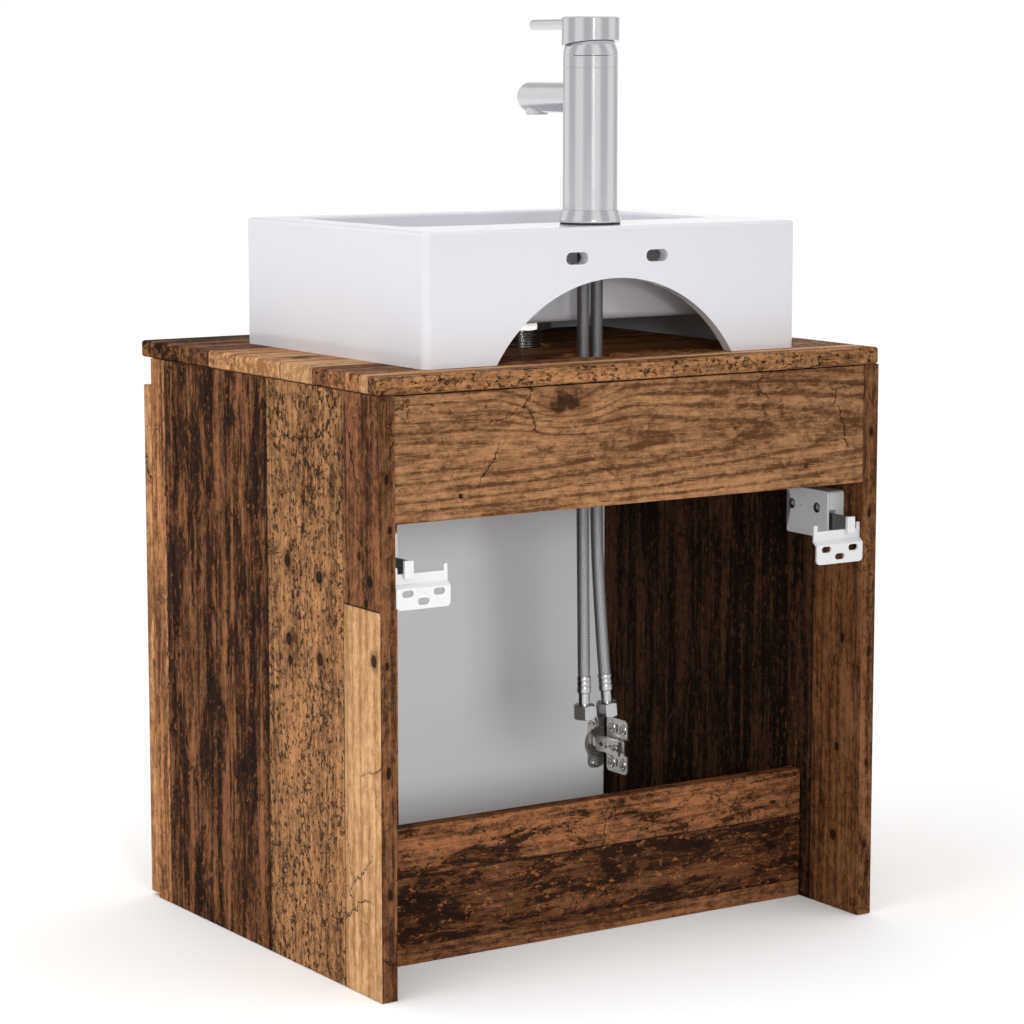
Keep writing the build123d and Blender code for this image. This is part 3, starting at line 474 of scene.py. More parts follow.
# which way the planks lie side by side, the depth and the grain; the span, the planks, and their marks
boardPrints = {
    "sidePrint": ("YXZ", (-205, 225), sidePlanks, dict(
        patches=[(163, 226, -1, 347, "blonde")], holes=sideHoles, cracks=sideCracks, seed=1.0)),
    "sidePrintLeft": ("YXZ", (-205, 225),
        [(-205, "flecked"), (-120, "russet"), (-20, "charred"), (120, "amber"), (180, "tan")], dict(
        patches=[(-20, 120, 210, 540, "umber")], holes=[(-60, 420, 2.6, 1.5), (40, 130, 2.6, 1.6)],
        cracks=[(-110, 100, -60, 118, 0.6)], seed=4.0)),
    # the panels' inner faces: dark print made darker still as painted shade of the cabinet's inside
    "innerPrintShaded": ("YXZ", (-205, 225), [(-205, "shadedNight"), (-96, "shadedNight"), (30, "shadedNight"), (150, "umber")], dict(
        holes=[(186, 72, 5.2, 1.2), (190, 160, 4.2, 1.2), (196, 268, 3.4, 1.6), (184, 470, 3.2, 1.5)],
        cracks=[(182, 210, 190, 330, 0.7)], seed=7.0)),
    "panelEdge": ("XYZ", (-276, 276), [(-276, "umber"), (0, "umber")], dict(
        holes=[(268, 462, 2.6, 2.2), (265, 418, 2.2, 1.8), (268, 300, 2.4, 2.0), (267, 205, 2.6, 2.4),
        (266, 96, 2.5, 2.2), (-267, 470, 2.6, 2.0), (-266, 392, 2.4, 2.0), (-268, 258, 2.6, 2.4),
        (-267, 150, 2.3, 2.0), (-266, 70, 2.6, 2.2)], seed=9.0)),
    "topPrint": ("YZX", (-226, 226),
        [(-226, "charred"), (-140, "russet"), (-86, "tan"), (-33, "straw"), (52, "blonde"),
        (108, "russet"), (137, "amber"), (190, "blonde"), (206, "flecked")], dict(
        patches=[(-226, -140, -120, 60, "amber"), (52, 108, -280, 60, "tan"),
                 (137, 190, -280, -40, "flecked")],
        cracks=[(60, -200, 70, 120, 0.6), (130, 180, 110, 250, 0.6)],
        knots=[(20, 236, 9, 1.8), (150, 60, 7, 2.2)], seed=12.0)),
    "topEdge": ("ZYX", (520, 560), [(520, "pitted")], dict(
        cracks=[(535, 228, 549, 214, 0.6), (536, 196, 549, 205, 0.6)], seed=15.0)),
    "railPrint": ("ZYX", (422, 533), [(422, "pine")], dict(
        holes=[],
        cracks=[(446, 176, 482, 150, 0.9), (440, 190, 500, 212, 0.4), (455, -240, 500, -228, 1.0)],
        knots=[(519, 78, 9, 2.0)], arch=(478, 330, 21, 310), seed=18.0)),
    "lowPrint": ("ZYX", (16, 128), [(16, "scorched"), (82, "stained")], dict(
        cracks=[(88, -60, 124, -140, 0.7), (86, 120, 118, 60, 0.7), (96, -10, 108, 30, 0.5)], seed=21.0)),
    "basePrint": ("YZX", (-206, 136), [(-206, "umber"), (-90, "sooty"), (30, "umber")], dict(
        seed=24.0)),
    "baseEdge": ("ZYX", (-2, 18), [(-2, "umber")], dict(
        seed=26.0)),
    "doorPrint": ("XYZ", (-276, 276),
        [(-276, "tan"), (-214, "charred"), (-92, "flecked"), (-38, "russet"), (0, "amber"),
        (74, "charred"), (150, "tan"), (226, "russet")], dict(
        patches=[(-92, -38, 0, 190, "blonde"), (150, 226, 260, 520, "flecked"),
                 (-214, -92, 330, 520, "russet")],
        holes=[(-60, 330, 2.8, 1.6), (-60, 260, 2.6, 1.6), (180, 210, 2.8, 1.6), (30, 440, 2.6, 1.6)],
        cracks=[(-88, 410, -44, 420, 0.7), (80, 120, 140, 140, 0.6)],
        knots=[(245, 150, 8, 1.6)], seed=30.0)),
    "doorEdge": ("YXZ", (-224, -206), [(-224, "tan")], dict(
        seed=33.0)),
}
wood = {}
for name, (axes, span, planks, marks) in boardPrints.items():
    wood[name] = makePrint(name, axes, span, planks, **marks)
print("wood prints ready:", len(wood))

# the other finishes


def makeHandling():
    # faint wipe marks and a fine surface grain, for metal, glaze and plastic alike
    inputs = [("Vector", "vector"), ("Roughness", "value"), ("Spread", "value"), ("Grain", "value"),
              ("Stretch", "vector")]
    outputs = [("Roughness", "value"), ("Height", "value"), ("Shade", "value")]
    tree, given, result = startGroup("handling", inputs, outputs)
    wipe = noise(stretched(given["Vector"], (38, 38, 22)), 5, 0.62, 0.8)
    scale = put(tree, "ShaderNodeVectorMath", operation="MULTIPLY")
    wire(scale, {0: given["Vector"], 1: given["Stretch"]})
    lines = noise(scale.outputs[0], 4, 0.6)
    roughness = sway(wipe, given["Spread"], given["Roughness"])
    lineShare = times(minus(lines, 0.5), given["Grain"])
    roughness = calc("MULTIPLY_ADD", lineShare, 0.5, roughness, clamp=True)
    shade = calc("ADD", calc("MULTIPLY_ADD", wipe, 0.08, 0.96), times(lineShare, 0.35), clamp=True)
    wire(result, {"Roughness": roughness, "Height": lines, "Shade": shade})
    return tree


handling = makeHandling()


def handled(tree, roughness, spread, grain, stretch):
    return useGroup(tree, handling, {"Vector": ownPlace(tree), "Roughness": roughness, "Spread": spread,
                                     "Grain": grain, "Stretch": stretch})


def makeFinish(name, colour, roughness, spread, grain, stretch, bump=0.0, bumpDepth=0.00005, **shaderValues):
    material, tree, shader = startMaterial(name, **shaderValues)
    marks = handled(tree, roughness, spread, grain, stretch)
    worn = tuple(value * 0.80 for value in colour[:3]) + (1.0,)
    finishColour = blendTone(marks["Shade"], worn, colour)
    wire(shader, {"Base Color": finishColour, "Roughness": marks["Roughness"]})
    if bump:
        wire(shader, {"Normal": relief(marks["Height"], bump, bumpDepth)})
    return material


# colour, roughness and its spread, grain and its scale, bump and its depth, the shader's own values
finishTable = {
    "ceramic": ((216, 216, 221), 0.16, 0.06, 0.05, (26, 26, 26), 0.12, 0.0003,
                {"Coat_Weight": 0.35, "Coat_Roughness": 0.05}),
    "bareClay": ((212, 208, 200), 0.75, 0.1, 0.3, (700, 700, 700), 0.5, 0.0003, {}),
    "chrome": ((208, 208, 210), 0.13, 0.07, 0.05, (30, 30, 500), {"Metallic": 1.0}),
    "nickel": ((228, 226, 223), 0.36, 0.14, 0.22, (700, 700, 160), 0.15, {"Metallic": 1.0}),
    "zinc": ((200, 202, 204), 0.38, 0.18, 0.3, (420, 420, 420), 0.2, {"Metallic": 1.0}),
    "nutNickel": ((176, 176, 177), 0.30, 0.12, 0.2, (600, 600, 90), 0.1, {"Metallic": 1.0}),
    "strapSteel": ((140, 140, 142), 0.34, 0.15, 0.3, (700, 90, 700), 0.2, {"Metallic": 1.0}),
    "brass": ((206, 172, 104), 0.30, 0.15, 0.25, (600, 600, 120), 0.15, {"Metallic": 1.0}),
    "whiteCoat": ((205, 205, 206), 0.38, 0.1, 0.12, (1100, 1100, 1100), 0.2, 0.0001, {}),
    "boxGrey": ((204, 204, 206), 0.46, 0.1, 0.2, (1500, 1500, 1500), 0.3, 0.0001, {}),
    "rubber": ((38, 38, 39), 0.72, 0.12, 0.4, (900, 900, 900), 0.4, 0.0001, {}),
    "doorGrey": ((226, 226, 227), 0.48, 0.1, 0.15, (1800, 1800, 1800), 0.25, 0.0001, {}),
}
finishes = {}
for name, (colour, *numbers, shaderValues) in finishTable.items():
    finishes[name] = makeFinish(name, tone(*colour), *numbers, **shaderValues)


def makeBraid():
    # woven stainless wire: two sets of crossing strands, by the hose's own UV map
    material, tree, shader = startMaterial("wireBraid", Metallic=1.0)
    split = axesOf(tree, "UV")
    along = times(split[0], braid["turns"] * 2 * math.pi * braid["strands"])
    around = times(split[1], 2 * math.pi * braid["strands"])
    over = calc("SINE", calc("ADD", along, around))
    under = calc("SINE", minus(along, around))
    weave = calc("MAXIMUM", over, under)
    wires = calc("SINE", times(minus(along, around), 4.0))
    marks = handled(tree, 0.46, 0.15, 0.2, (500, 500, 60))
    # painted light and shade: the weave's crests lighter and its hollows darker, as light falls on the strands
    lit = fade(weave, -0.1, 0.9)
    shade = times(lit, calc("MULTIPLY_ADD", wires, 0.08, 0.92))
    colour = blendTone(shade, tone(94, 94, 96), tone(164, 164, 166))
    colour = blendTone(marks["Shade"], tone(96, 94, 92), colour)
    normal = relief(weave, 0.7, 0.0003)
    wire(shader, {"Base Color": colour, "Roughness": marks["Roughness"], "Normal": normal})
    return material


braid = {"turns": 17, "strands": 12}
finishes["braid"] = makeBraid()
# the finish of each slot, unless a piece says otherwise
slotFinish = {
    "wood_print": wood["sidePrint"], "white_ceramic": finishes["ceramic"], "chrome": finishes["chrome"],
    "nickel": finishes["nickel"], "zinc_steel": finishes["zinc"], "steel_braid": finishes["braid"],
    "white_metal": finishes["whiteCoat"], "grey_plastic": finishes["boxGrey"], "brass": finishes["brass"],
    "rubber": finishes["rubber"],
}
print("finishes ready:", len(finishes))

# modelling helpers, all sizes in mm


def deselectAll():
    if bpy.context.object and bpy.context.object.mode != "OBJECT":
        bpy.ops.object.mode_set(mode="OBJECT")
    bpy.ops.object.select_all(action="DESELECT")


def choose(piece):
    deselectAll()
    piece.select_set(True)
    bpy.context.view_layer.objects.active = piece


def edit(piece):
    choose(piece)
    bpy.ops.object.mode_set(mode="EDIT")


def pick(piece, kind, test):
    bpy.ops.mesh.select_mode(type=kind)
    bpy.ops.mesh.select_all(action="DESELECT")
    work = bmesh.from_edit_mesh(piece.data)
    for item in {"VERT": work.verts, "EDGE": work.edges, "FACE": work.faces}[kind]:
        if test(item):
            item.select_set(True)
    bmesh.update_edit_mesh(piece.data)


def faceOut():
    bpy.ops.mesh.select_all(action="SELECT")
    bpy.ops.mesh.normals_make_consistent(inside=False)
    bpy.ops.object.mode_set(mode="OBJECT")


def settle(name):
    piece = bpy.context.object
    piece.name = piece.data.name = name
    bpy.ops.object.transform_apply(location=True, rotation=True, scale=True)
    return piece


def nodeBox(node):
    low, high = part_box(node)
    return [value / mm for value in low], [value / mm for value in high]


def addBlock(name, low, high):
    deselectAll()
    centre = [(start + end) / 2 * mm for start, end in zip(low, high)]
    size = [(end - start) * mm for start, end in zip(low, high)]
    bpy.ops.mesh.primitive_cube_add(size=1, location=centre, scale=size)
    return settle(name)


def turnPiece(name, place, profile, way=(0, 0, 1), sides=64, roll=0.0):
    # a turned part: steps of (distance along, radius) from its first face
    deselectAll()
    reach, radius = profile[0]
    bpy.ops.mesh.primitive_circle_add(vertices=sides, radius=radius * mm, fill_type="NGON",
                                      location=(0, 0, reach * mm), rotation=(0, 0, roll))
    piece = bpy.context.object
    bpy.ops.object.transform_apply(location=True, rotation=True, scale=True)
    bpy.ops.object.mode_set(mode="EDIT")
    bpy.ops.mesh.select_mode(type="FACE")
    bpy.ops.mesh.select_all(action="SELECT")
    for nextReach, nextRadius in profile[1:]:
        bpy.ops.mesh.extrude_region_move(TRANSFORM_OT_translate={"value": (0, 0, (nextReach - reach) * mm)})
        share = nextRadius / radius
        if share != 1:
            bpy.ops.transform.resize(value=(share, share, 1), center_override=(0, 0, 0))
        reach, radius = nextReach, nextRadius
    faceOut()
    piece.rotation_euler = Vector(way).to_track_quat("Z", "Y").to_euler()
    piece.location = Vector(place) * mm
    return settle(name)


def bendStrip(name, route, height, width, thickness, rounding=0.0):
    # sheet metal bent along a plan route; its width stands upright round the given height
    deselectAll()
    first, second = Vector(route[0]), Vector(route[1])
    run = second - first
    middle = (first + second) / 2
    bpy.ops.mesh.primitive_plane_add(
        size=1, location=(middle.x * mm, middle.y * mm, height * mm),
        rotation=(math.pi / 2, 0, math.atan2(run.y, run.x)))
    bpy.context.object.scale = (run.length * mm, width * mm, 1)
    piece = settle(name)
    edit(piece)
    pick(piece, "EDGE", lambda edge: all((vert.co.xy / mm - second).length < 0.01 for vert in edge.verts))
    for before, after in zip(route[1:], route[2:]):
        step = ((after[0] - before[0]) * mm, (after[1] - before[1]) * mm, 0)
        bpy.ops.mesh.extrude_region_move(TRANSFORM_OT_translate={"value": step})
    if rounding:
        inner = [Vector(point) for point in route[1:-1]]
        pick(piece, "EDGE", lambda edge: any(
            all((vert.co.xy / mm - point).length < 0.01 for vert in edge.verts) for point in inner))
        bpy.ops.mesh.bevel(offset=rounding * mm, segments=4, affect="EDGES")
    bpy.ops.object.mode_set(mode="OBJECT")
    shapeWith(piece, "SOLIDIFY", thickness=thickness * mm, offset=0.0, use_even_offset=True)
    return piece


def runsAlong(axis):
    # picks the edges that run along one axis
    return lambda edge: abs((edge.verts[0].co - edge.verts[1].co)[axis]) > 0.0005


alongX, alongY, upright = [runsAlong(axis) for axis in range(3)]


def atHeight(edge, height):
    return all(abs(vert.co.z / mm - height) < 0.02 for vert in edge.verts)


def bevelEdges(piece, test, width, segments=3):
    edit(piece)
    pick(piece, "EDGE", test)
    bpy.ops.mesh.bevel(offset=width * mm, segments=segments, affect="EDGES")
    bpy.ops.object.mode_set(mode="OBJECT")
    return piece


def shapeWith(piece, kind, **settings):
    choose(piece)
    modifier = piece.modifiers.new(kind.title(), kind)
    for key, value in settings.items():
        setattr(modifier, key, value)
    bpy.ops.object.modifier_apply(modifier=modifier.name)
    return piece


def softenEdges(piece, width, segments=2, angle=30):
    return shapeWith(piece, "BEVEL", width=width * mm, segments=segments, limit_method="ANGLE",
                     angle_limit=math.radians(angle), use_clamp_overlap=True)


def cutWith(piece, *cutters, operation="DIFFERENCE"):
    for cutter in cutters:
        shapeWith(piece, "BOOLEAN", operation=operation, object=cutter, solver="EXACT")
        bpy.data.objects.remove(cutter)
    return piece


def uniteWith(piece, *others):
    return cutWith(piece, *others, operation="UNION")


def copyPiece(piece, name, shift=(0, 0, 0), way=None, mirrored=False):
    choose(piece)
    bpy.ops.object.duplicate()
    copy = bpy.context.object
    if way:
        copy.rotation_euler = Vector(way).to_track_quat("Z", "Y").to_euler()
    if mirrored:
        copy.scale = (-1, 1, 1)
    copy.location = Vector(shift) * mm
    settle(name)
    if mirrored:
        edit(copy)
        faceOut()
    return copy


def joinPieces(name, pieces):
    choose(pieces[0])
    for piece in pieces[1:]:
        piece.select_set(True)
    bpy.ops.object.join()
    return settle(name)


def finishPiece(piece, node, slotName, materials=None, paint=None, smooth=50):
    # smooth shading with flat faces kept flat, materials, then its place in the frame
    edit(piece)
    bpy.ops.mesh.select_all(action="SELECT")
    bpy.ops.mesh.remove_doubles(threshold=0.000002)
    bpy.ops.object.mode_set(mode="OBJECT")
    bpy.ops.object.shade_smooth_by_angle(angle=math.radians(smooth))
    shapeWith(piece, "WEIGHTED_NORMAL", keep_sharp=True, weight=50)
    piece.data.materials.clear()
    for material in materials or [slotFinish[slotName]]:
        piece.data.materials.append(material)
    if paint:
        for face in piece.data.polygons:
            face.material_index = paint(face.normal, face.center / mm)
    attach(piece, bodyOf[node])
    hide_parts(node)
    return piece


bodyOf = {node: body for body, nodes in frame["record"]["behaviour"]["bodies"].items() for node in nodes}
sides = ("left", "right")
levels = ("lower", "upper")

# hoses

hoses = {
    "diameter": 11.5,
    "length": 402.4,
    "route": {
        "right": [(7.5, 142, 645.2), (7.5, 142, 565), (7.9, 142.2, 460), (7.0, 142.4, 350), (5.2, 142, 243)],
        "left": [(-7.5, 142, 645.2), (-7.5, 142, 565), (-7.2, 142.3, 455), (-9.2, 142.3, 340), (-18.8, 142, 243)],
    },
    "sleeve": [(-7, 6.15), (-6, 6.6), (-3.5, 6.6), (-2.8, 6.1), (-1.8, 6.1), (-1.1, 6.6), (1.2, 6.6), (1.9, 6.1),
               (2.9, 6.1), (3.6, 6.6), (8, 6.6), (9, 5.9), (9, 5.2), (22.5, 5.2), (22.5, 7.8), (25.5, 7.8)],
    "nutFlats": 19,
    "nutLength": 13.5,
    "nutStart": 19.92,      # from the hose's end to the nut's upper face
    "nutBore": 8.3,
    "nutNeck": 5.3,
}


def layHose(side, values):
    deselectAll()
    points = values["route"][side]
    curve = bpy.data.curves.new("hose_" + side + "_braid", "CURVE")
    curve.dimensions = "3D"
    spline = curve.splines.new("NURBS")
    spline.points.add(len(points) - 1)
    for point, place in zip(spline.points, points):
        point.co = [value * mm for value in place] + [1.0]
    spline.order_u = 3
    spline.use_endpoint_u = True
    spline.resolution_u = 24
    curve.bevel_depth = values["diameter"] / 2 * mm
    curve.bevel_resolution = 8
    curve.use_fill_caps = True
    hose = bpy.data.objects.new("hose_" + side + "_braid", curve)
    bpy.context.scene.collection.objects.link(hose)
    curve.materials.append(finishes["braid"])
    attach(hose, "cabinet")
    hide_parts("hose_" + side)
    return hose


def makeHoseEnd(side, values):
    before, end = [Vector(point) for point in values["route"][side][-2:]]
    way = (end - before).normalized()
    ferrule = turnPiece("hose_" + side + "_sleeve", end, values["sleeve"], way, 48)
    softenEdges(ferrule, 0.3, 2, 25)
    finishPiece(ferrule, "hose_ferrule_" + side, "zinc_steel", [finishes["nutNickel"]])
    top = end + way * values["nutStart"]
    corner = values["nutFlats"] / 2 / math.cos(math.pi / 6)
    length = values["nutLength"]
    nut = turnPiece("hose_" + side + "_nut", top, [(0, corner), (length, corner)], way, 6, math.radians(12))
    rounder = turnPiece("nutRounder", top, [(-0.1, corner - 2.4), (1.5, corner + 0.25), (length - 1.3, corner + 0.25),
                                            (length + 0.1, corner - 1.6)], way, 96)
    cutWith(nut, rounder, operation="INTERSECT")
    for start, bore, reach in ((2.5, values["nutBore"], length), (-1, values["nutNeck"], 5)):
        cutWith(nut, turnPiece("bore", top + way * start, [(0, bore), (reach, bore)], way, 48))
    softenEdges(nut, 0.25, 2, 25)
    finishPiece(nut, "hose_nut_" + side, "nickel", [finishes["nutNickel"]])
    return ferrule, nut


for side in sides:
    hose = layHose(side, hoses)
    ferrule, nut = makeHoseEnd(side, hoses)
print("hoses hung")

# boards

boards = {
    "edge": 0.7, "doorOuterEdge": 4.0, "doorMeetingEdge": 2.0, "topEdge": 3.0, "drainHole": 30, "tapHole": 25,
    "railScrewX": 191, "railScrewRise": 20, "railScrewRadius": 2.5, "cupInset": 21.5, "cupRadius": 17.5,
    "cupDepth": 11.5,
}


def makeBoard(node, materials, paint, cutters=(), edge=None):
    low, high = nodeBox(node)
    board = addBlock(node + "_board", low, high)
    if cutters:
        cutWith(board, *cutters)
    softenEdges(board, edge or boards["edge"], 2, 35)
    return finishPiece(board, node, "wood_print", materials, paint)


def drill(place, way, radius, length):
    return turnPiece("drill", place, [(0, radius), (length, radius)], way, 48)


for side in sides:
    outward = -1 if side == "left" else 1
    outer = wood["sidePrintLeft"] if side == "left" else wood["sidePrint"]
    # the inner faces take the darker print, which holds painted shade
    makeBoard("side_panel_" + side, [outer, wood["innerPrintShaded"], wood["panelEdge"]],
              lambda way, spot: 0 if way.x * outward > 0.7 else 1 if way.x * outward < -0.7 else 2)

topLow, topHigh = nodeBox("countertop")
tapAxis = [sum(ends) / 2 for ends in zip(*nodeBox("tap_gasket"))]
drainAxis = [sum(ends) / 2 for ends in zip(*nodeBox("drain_washer"))]
topHoles = [drill((0, axis[1], topLow[2] - 1), (0, 0, 1), boards[hole], 18)
            for axis, hole in ((drainAxis, "drainHole"), (tapAxis, "tapHole"))]
countertop = bevelEdges(addBlock("countertop_board", topLow, topHigh), lambda edge: True, boards["topEdge"], 4)
cutWith(countertop, *topHoles)
finishPiece(countertop, "countertop", "wood_print", [wood["topPrint"], wood["topEdge"]],
            lambda way, spot: 1 if way.y > 0.75 else 0, 40)

railLow, railHigh = nodeBox("top_rear_rail")
railHeight = railLow[2] + boards["railScrewRise"]
railHoles = [drill((x, railLow[1] - 1, railHeight), (0, 1, 0), boards["railScrewRadius"], 18)
             for x in (-boards["railScrewX"], boards["railScrewX"])]
makeBoard("top_rear_rail", [wood["railPrint"]], None, railHoles, 0.5)
makeBoard("bottom_rear_rail", [wood["lowPrint"]], None)
makeBoard("front_rail", [wood["topPrint"]], None)
makeBoard("bottom_panel", [wood["basePrint"], wood["baseEdge"]], lambda way, spot: 1 if abs(way.y) > 0.7 else 0)

cupHeights = {level: sum(value[2] for value in nodeBox("hinge_cup_left_" + level)) / 2 for level in levels}
cupX = nodeBox("side_panel_left")[0][0] + boards["cupInset"]
for side in sides:
    outward = -1 if side == "left" else 1
    low, high = nodeBox("door_" + side)
    door = addBlock("door_" + side + "_leaf", low, high)
    outerX = low[0] if side == "left" else high[0]
    bevelEdges(door, lambda edge: upright(edge) and abs(edge.verts[0].co.x / mm - outerX) < 0.1,
               boards["doorOuterEdge"], 5)
    bevelEdges(door, lambda edge: upright(edge) and abs(edge.verts[0].co.x) < 0.002,
               boards["doorMeetingEdge"], 4)
    pocket = (0, -1, 0), boards["cupRadius"], boards["cupDepth"] + 1
    pockets = [drill((-outward * cupX, high[1] + 1, height), *pocket) for height in cupHeights.values()]
    cutWith(door, *pockets)
    softenEdges(door, 0.4, 2, 35)
    finishPiece(door, "door_" + side, "wood_print",
                [wood["doorPrint"], finishes["doorGrey"], wood["doorEdge"]],
                lambda way, spot: 1 if way.y > 0.9 else 0 if way.y < -0.3 else 2, 40)
print("boards cut and bevelled")

# basin

basin = {
    "corner": 8, "topEdge": 4, "wall": 12, "deck": 14, "bowlWall": 10, "rimEdge": 3.5,
    "sideLedge": 38, "frontLedge": 20, "tapLedge": 85, "bowlLift": 38, "bowlCorner": 18, "floorEdge": 10,
    "archWidth": 260, "archHeight": 73, "slotPlace": (44, 92), "slotSize": (24, 11),
    "drainHole": 23, "tapHole": 17, "softEdge": 1.4,
}


def makeBasin(values):
    low, high = nodeBox("basin")
    floor = low[2] + values["bowlLift"]
    shell = bevelEdges(addBlock("basin_glazed", low, high), upright, values["corner"], 6)
    bevelEdges(shell, lambda edge: atHeight(edge, high[2]), values["topEdge"], 5)

    wall, ledge = values["wall"], values["sideLedge"]
    hollow = addBlock("hollow", (low[0] + wall, low[1] + wall, low[2] - 1),
                      (high[0] - wall, high[1] - wall, high[2] - values["deck"]))
    bevelEdges(hollow, upright, 5, 4)
    skin = values["bowlWall"]
    bowlLow = (low[0] + ledge, low[1] + values["frontLedge"], floor)
    bowlHigh = (high[0] - ledge, high[1] - values["tapLedge"], high[2] + 1)
    around = addBlock("bowlOutside", (bowlLow[0] - skin, bowlLow[1] - skin, floor - skin),
                      (bowlHigh[0] + skin, bowlHigh[1] + skin, high[2]))
    bevelEdges(around, upright, values["bowlCorner"] + skin - 1, 8)
    bevelEdges(around, lambda edge: atHeight(edge, floor - skin), 8, 4)
    cutWith(hollow, around)
    bowl = bevelEdges(addBlock("bowlInside", bowlLow, bowlHigh), upright, values["bowlCorner"], 8)
    bevelEdges(bowl, lambda edge: atHeight(edge, floor), values["floorEdge"], 6)

    radius = ((values["archWidth"] / 2) ** 2 + values["archHeight"] ** 2) / (2 * values["archHeight"])
    archPlace = (0, high[1] - wall - 1, low[2] + values["archHeight"] - radius)
    arch = turnPiece("arch", archPlace, [(0, radius), (wall + 2, radius)], (0, 1, 0), 200)
    slots = []
    slotX, slotRise = values["slotPlace"]
    width, height = values["slotSize"]
    for x in (-slotX, slotX):
        slot = addBlock("slot", (x - width / 2, high[1] - wall - 1, low[2] + slotRise - height / 2),
                        (x + width / 2, high[1] + 1, low[2] + slotRise + height / 2))
        slots.append(bevelEdges(slot, alongY, height / 2 - 0.05, 8))
    drain = drill((0, drainAxis[1], floor - skin - 1), (0, 0, 1), values["drainHole"], skin + 2)
    deck = values["deck"]
    tapHole = drill((0, tapAxis[1], high[2] - deck - 1), (0, 0, 1), values["tapHole"], deck + 2)
    cutWith(shell, hollow, bowl, arch, *slots, drain, tapHole)

    def onRim(edge):
        return atHeight(edge, high[2]) and all(
            abs(vert.co.x / mm) < bowlHigh[0] + 0.1 and bowlLow[1] - 0.1 < vert.co.y / mm < bowlHigh[1] + 0.1
            for vert in edge.verts)

    bevelEdges(shell, onRim, values["rimEdge"], 4)
    softenEdges(shell, values["softEdge"], 3, 38)
    base = low[2]
    return finishPiece(shell, "basin", "white_ceramic", [finishes["ceramic"], finishes["bareClay"]],
                       lambda way, spot: 1 if way.z < -0.7 and spot.z < base + 1 else 0, 40)


makeBasin(basin)
print("basin formed")

# waste

waste = {"flats": 52, "threadPitch": 2.3, "threadDepth": 0.95, "bore": 18, "radius": 20.95}


def makeWaste(values):
    low, high = nodeBox("drain_body")
    place = (0, drainAxis[1], 0)
    seat, radius = high[2] - 3, values["radius"]
    steps = [(low[2], radius - 1), (low[2] + 0.8, radius)]
    pitch, depth = values["threadPitch"], values["threadDepth"]
    height = low[2] + 3
    while height < seat - 12:
        steps += [(height, radius)] + [(height + share * pitch, radius - depth) for share in (0.45, 0.55)]
        height += pitch
    steps += [(height, radius), (seat, radius), (seat, high[0] - 1), (seat + 0.6, high[0]),
              (high[2] - 0.8, high[0]), (high[2], high[0] - 1.6), (high[2], high[0] - 5),
              (high[2] - 0.8, high[0] - 6.5)]
    body = turnPiece("waste_body", place, steps, sides=72)
    cutWith(body, drill((0, drainAxis[1], low[2] - 1), (0, 0, 1), values["bore"], high[2] - low[2] + 2))
    softenEdges(body, 0.25, 2, 40)
    finishPiece(body, "drain_body", "chrome", smooth=40)

    low, high = nodeBox("drain_nut")
    corner = values["flats"] / 2 / math.cos(math.pi / 6)
    tall = high[2] - low[2]
    nut = turnPiece("waste_nut", place, [(low[2], corner), (high[2], corner)], sides=6)
    rounder = turnPiece("rounder", place, [(low[2] - 0.1, corner - 2.6), (low[2] + 1.6, corner + 0.2),
                                           (high[2] - 1.6, corner + 0.2), (high[2] + 0.1, corner - 2.6)], sides=96)
    cutWith(nut, rounder, operation="INTERSECT")
    cutWith(nut, drill((0, drainAxis[1], low[2] - 1), (0, 0, 1), values["radius"], tall + 2))
    softenEdges(nut, 0.3, 2, 25)
    finishPiece(nut, "drain_nut", "nickel")

    low, high = nodeBox("waste_plug")
    seat, rim = high[2] - 4, high[0]
    plug = turnPiece("waste_plug_cap", place, [
        (low[2], 3), (low[2] + 1, 4), (seat, 4), (seat, rim - 0.8), (seat + 0.6, rim), (seat + 2.2, rim),
        (seat + 3.2, rim - 0.6), (seat + 3.8, rim - 1.6), (high[2], rim - 3), (high[2], rim - 8),
        (high[2] - 0.5, rim - 9), (high[2] - 0.6, 2)], sides=72)
    finishPiece(plug, "waste_plug", "chrome", smooth=35)


makeWaste(waste)

# tap

tap = {
    "radius": 25, "headRadius": 26.25, "rimSlope": 8, "rimRise": 11, "pivot": 822, "cavity": 25.4,
    "spoutRadius": 14, "spoutEnd": 7, "leverRadius": 5, "aeratorRadius": 10.5,
}


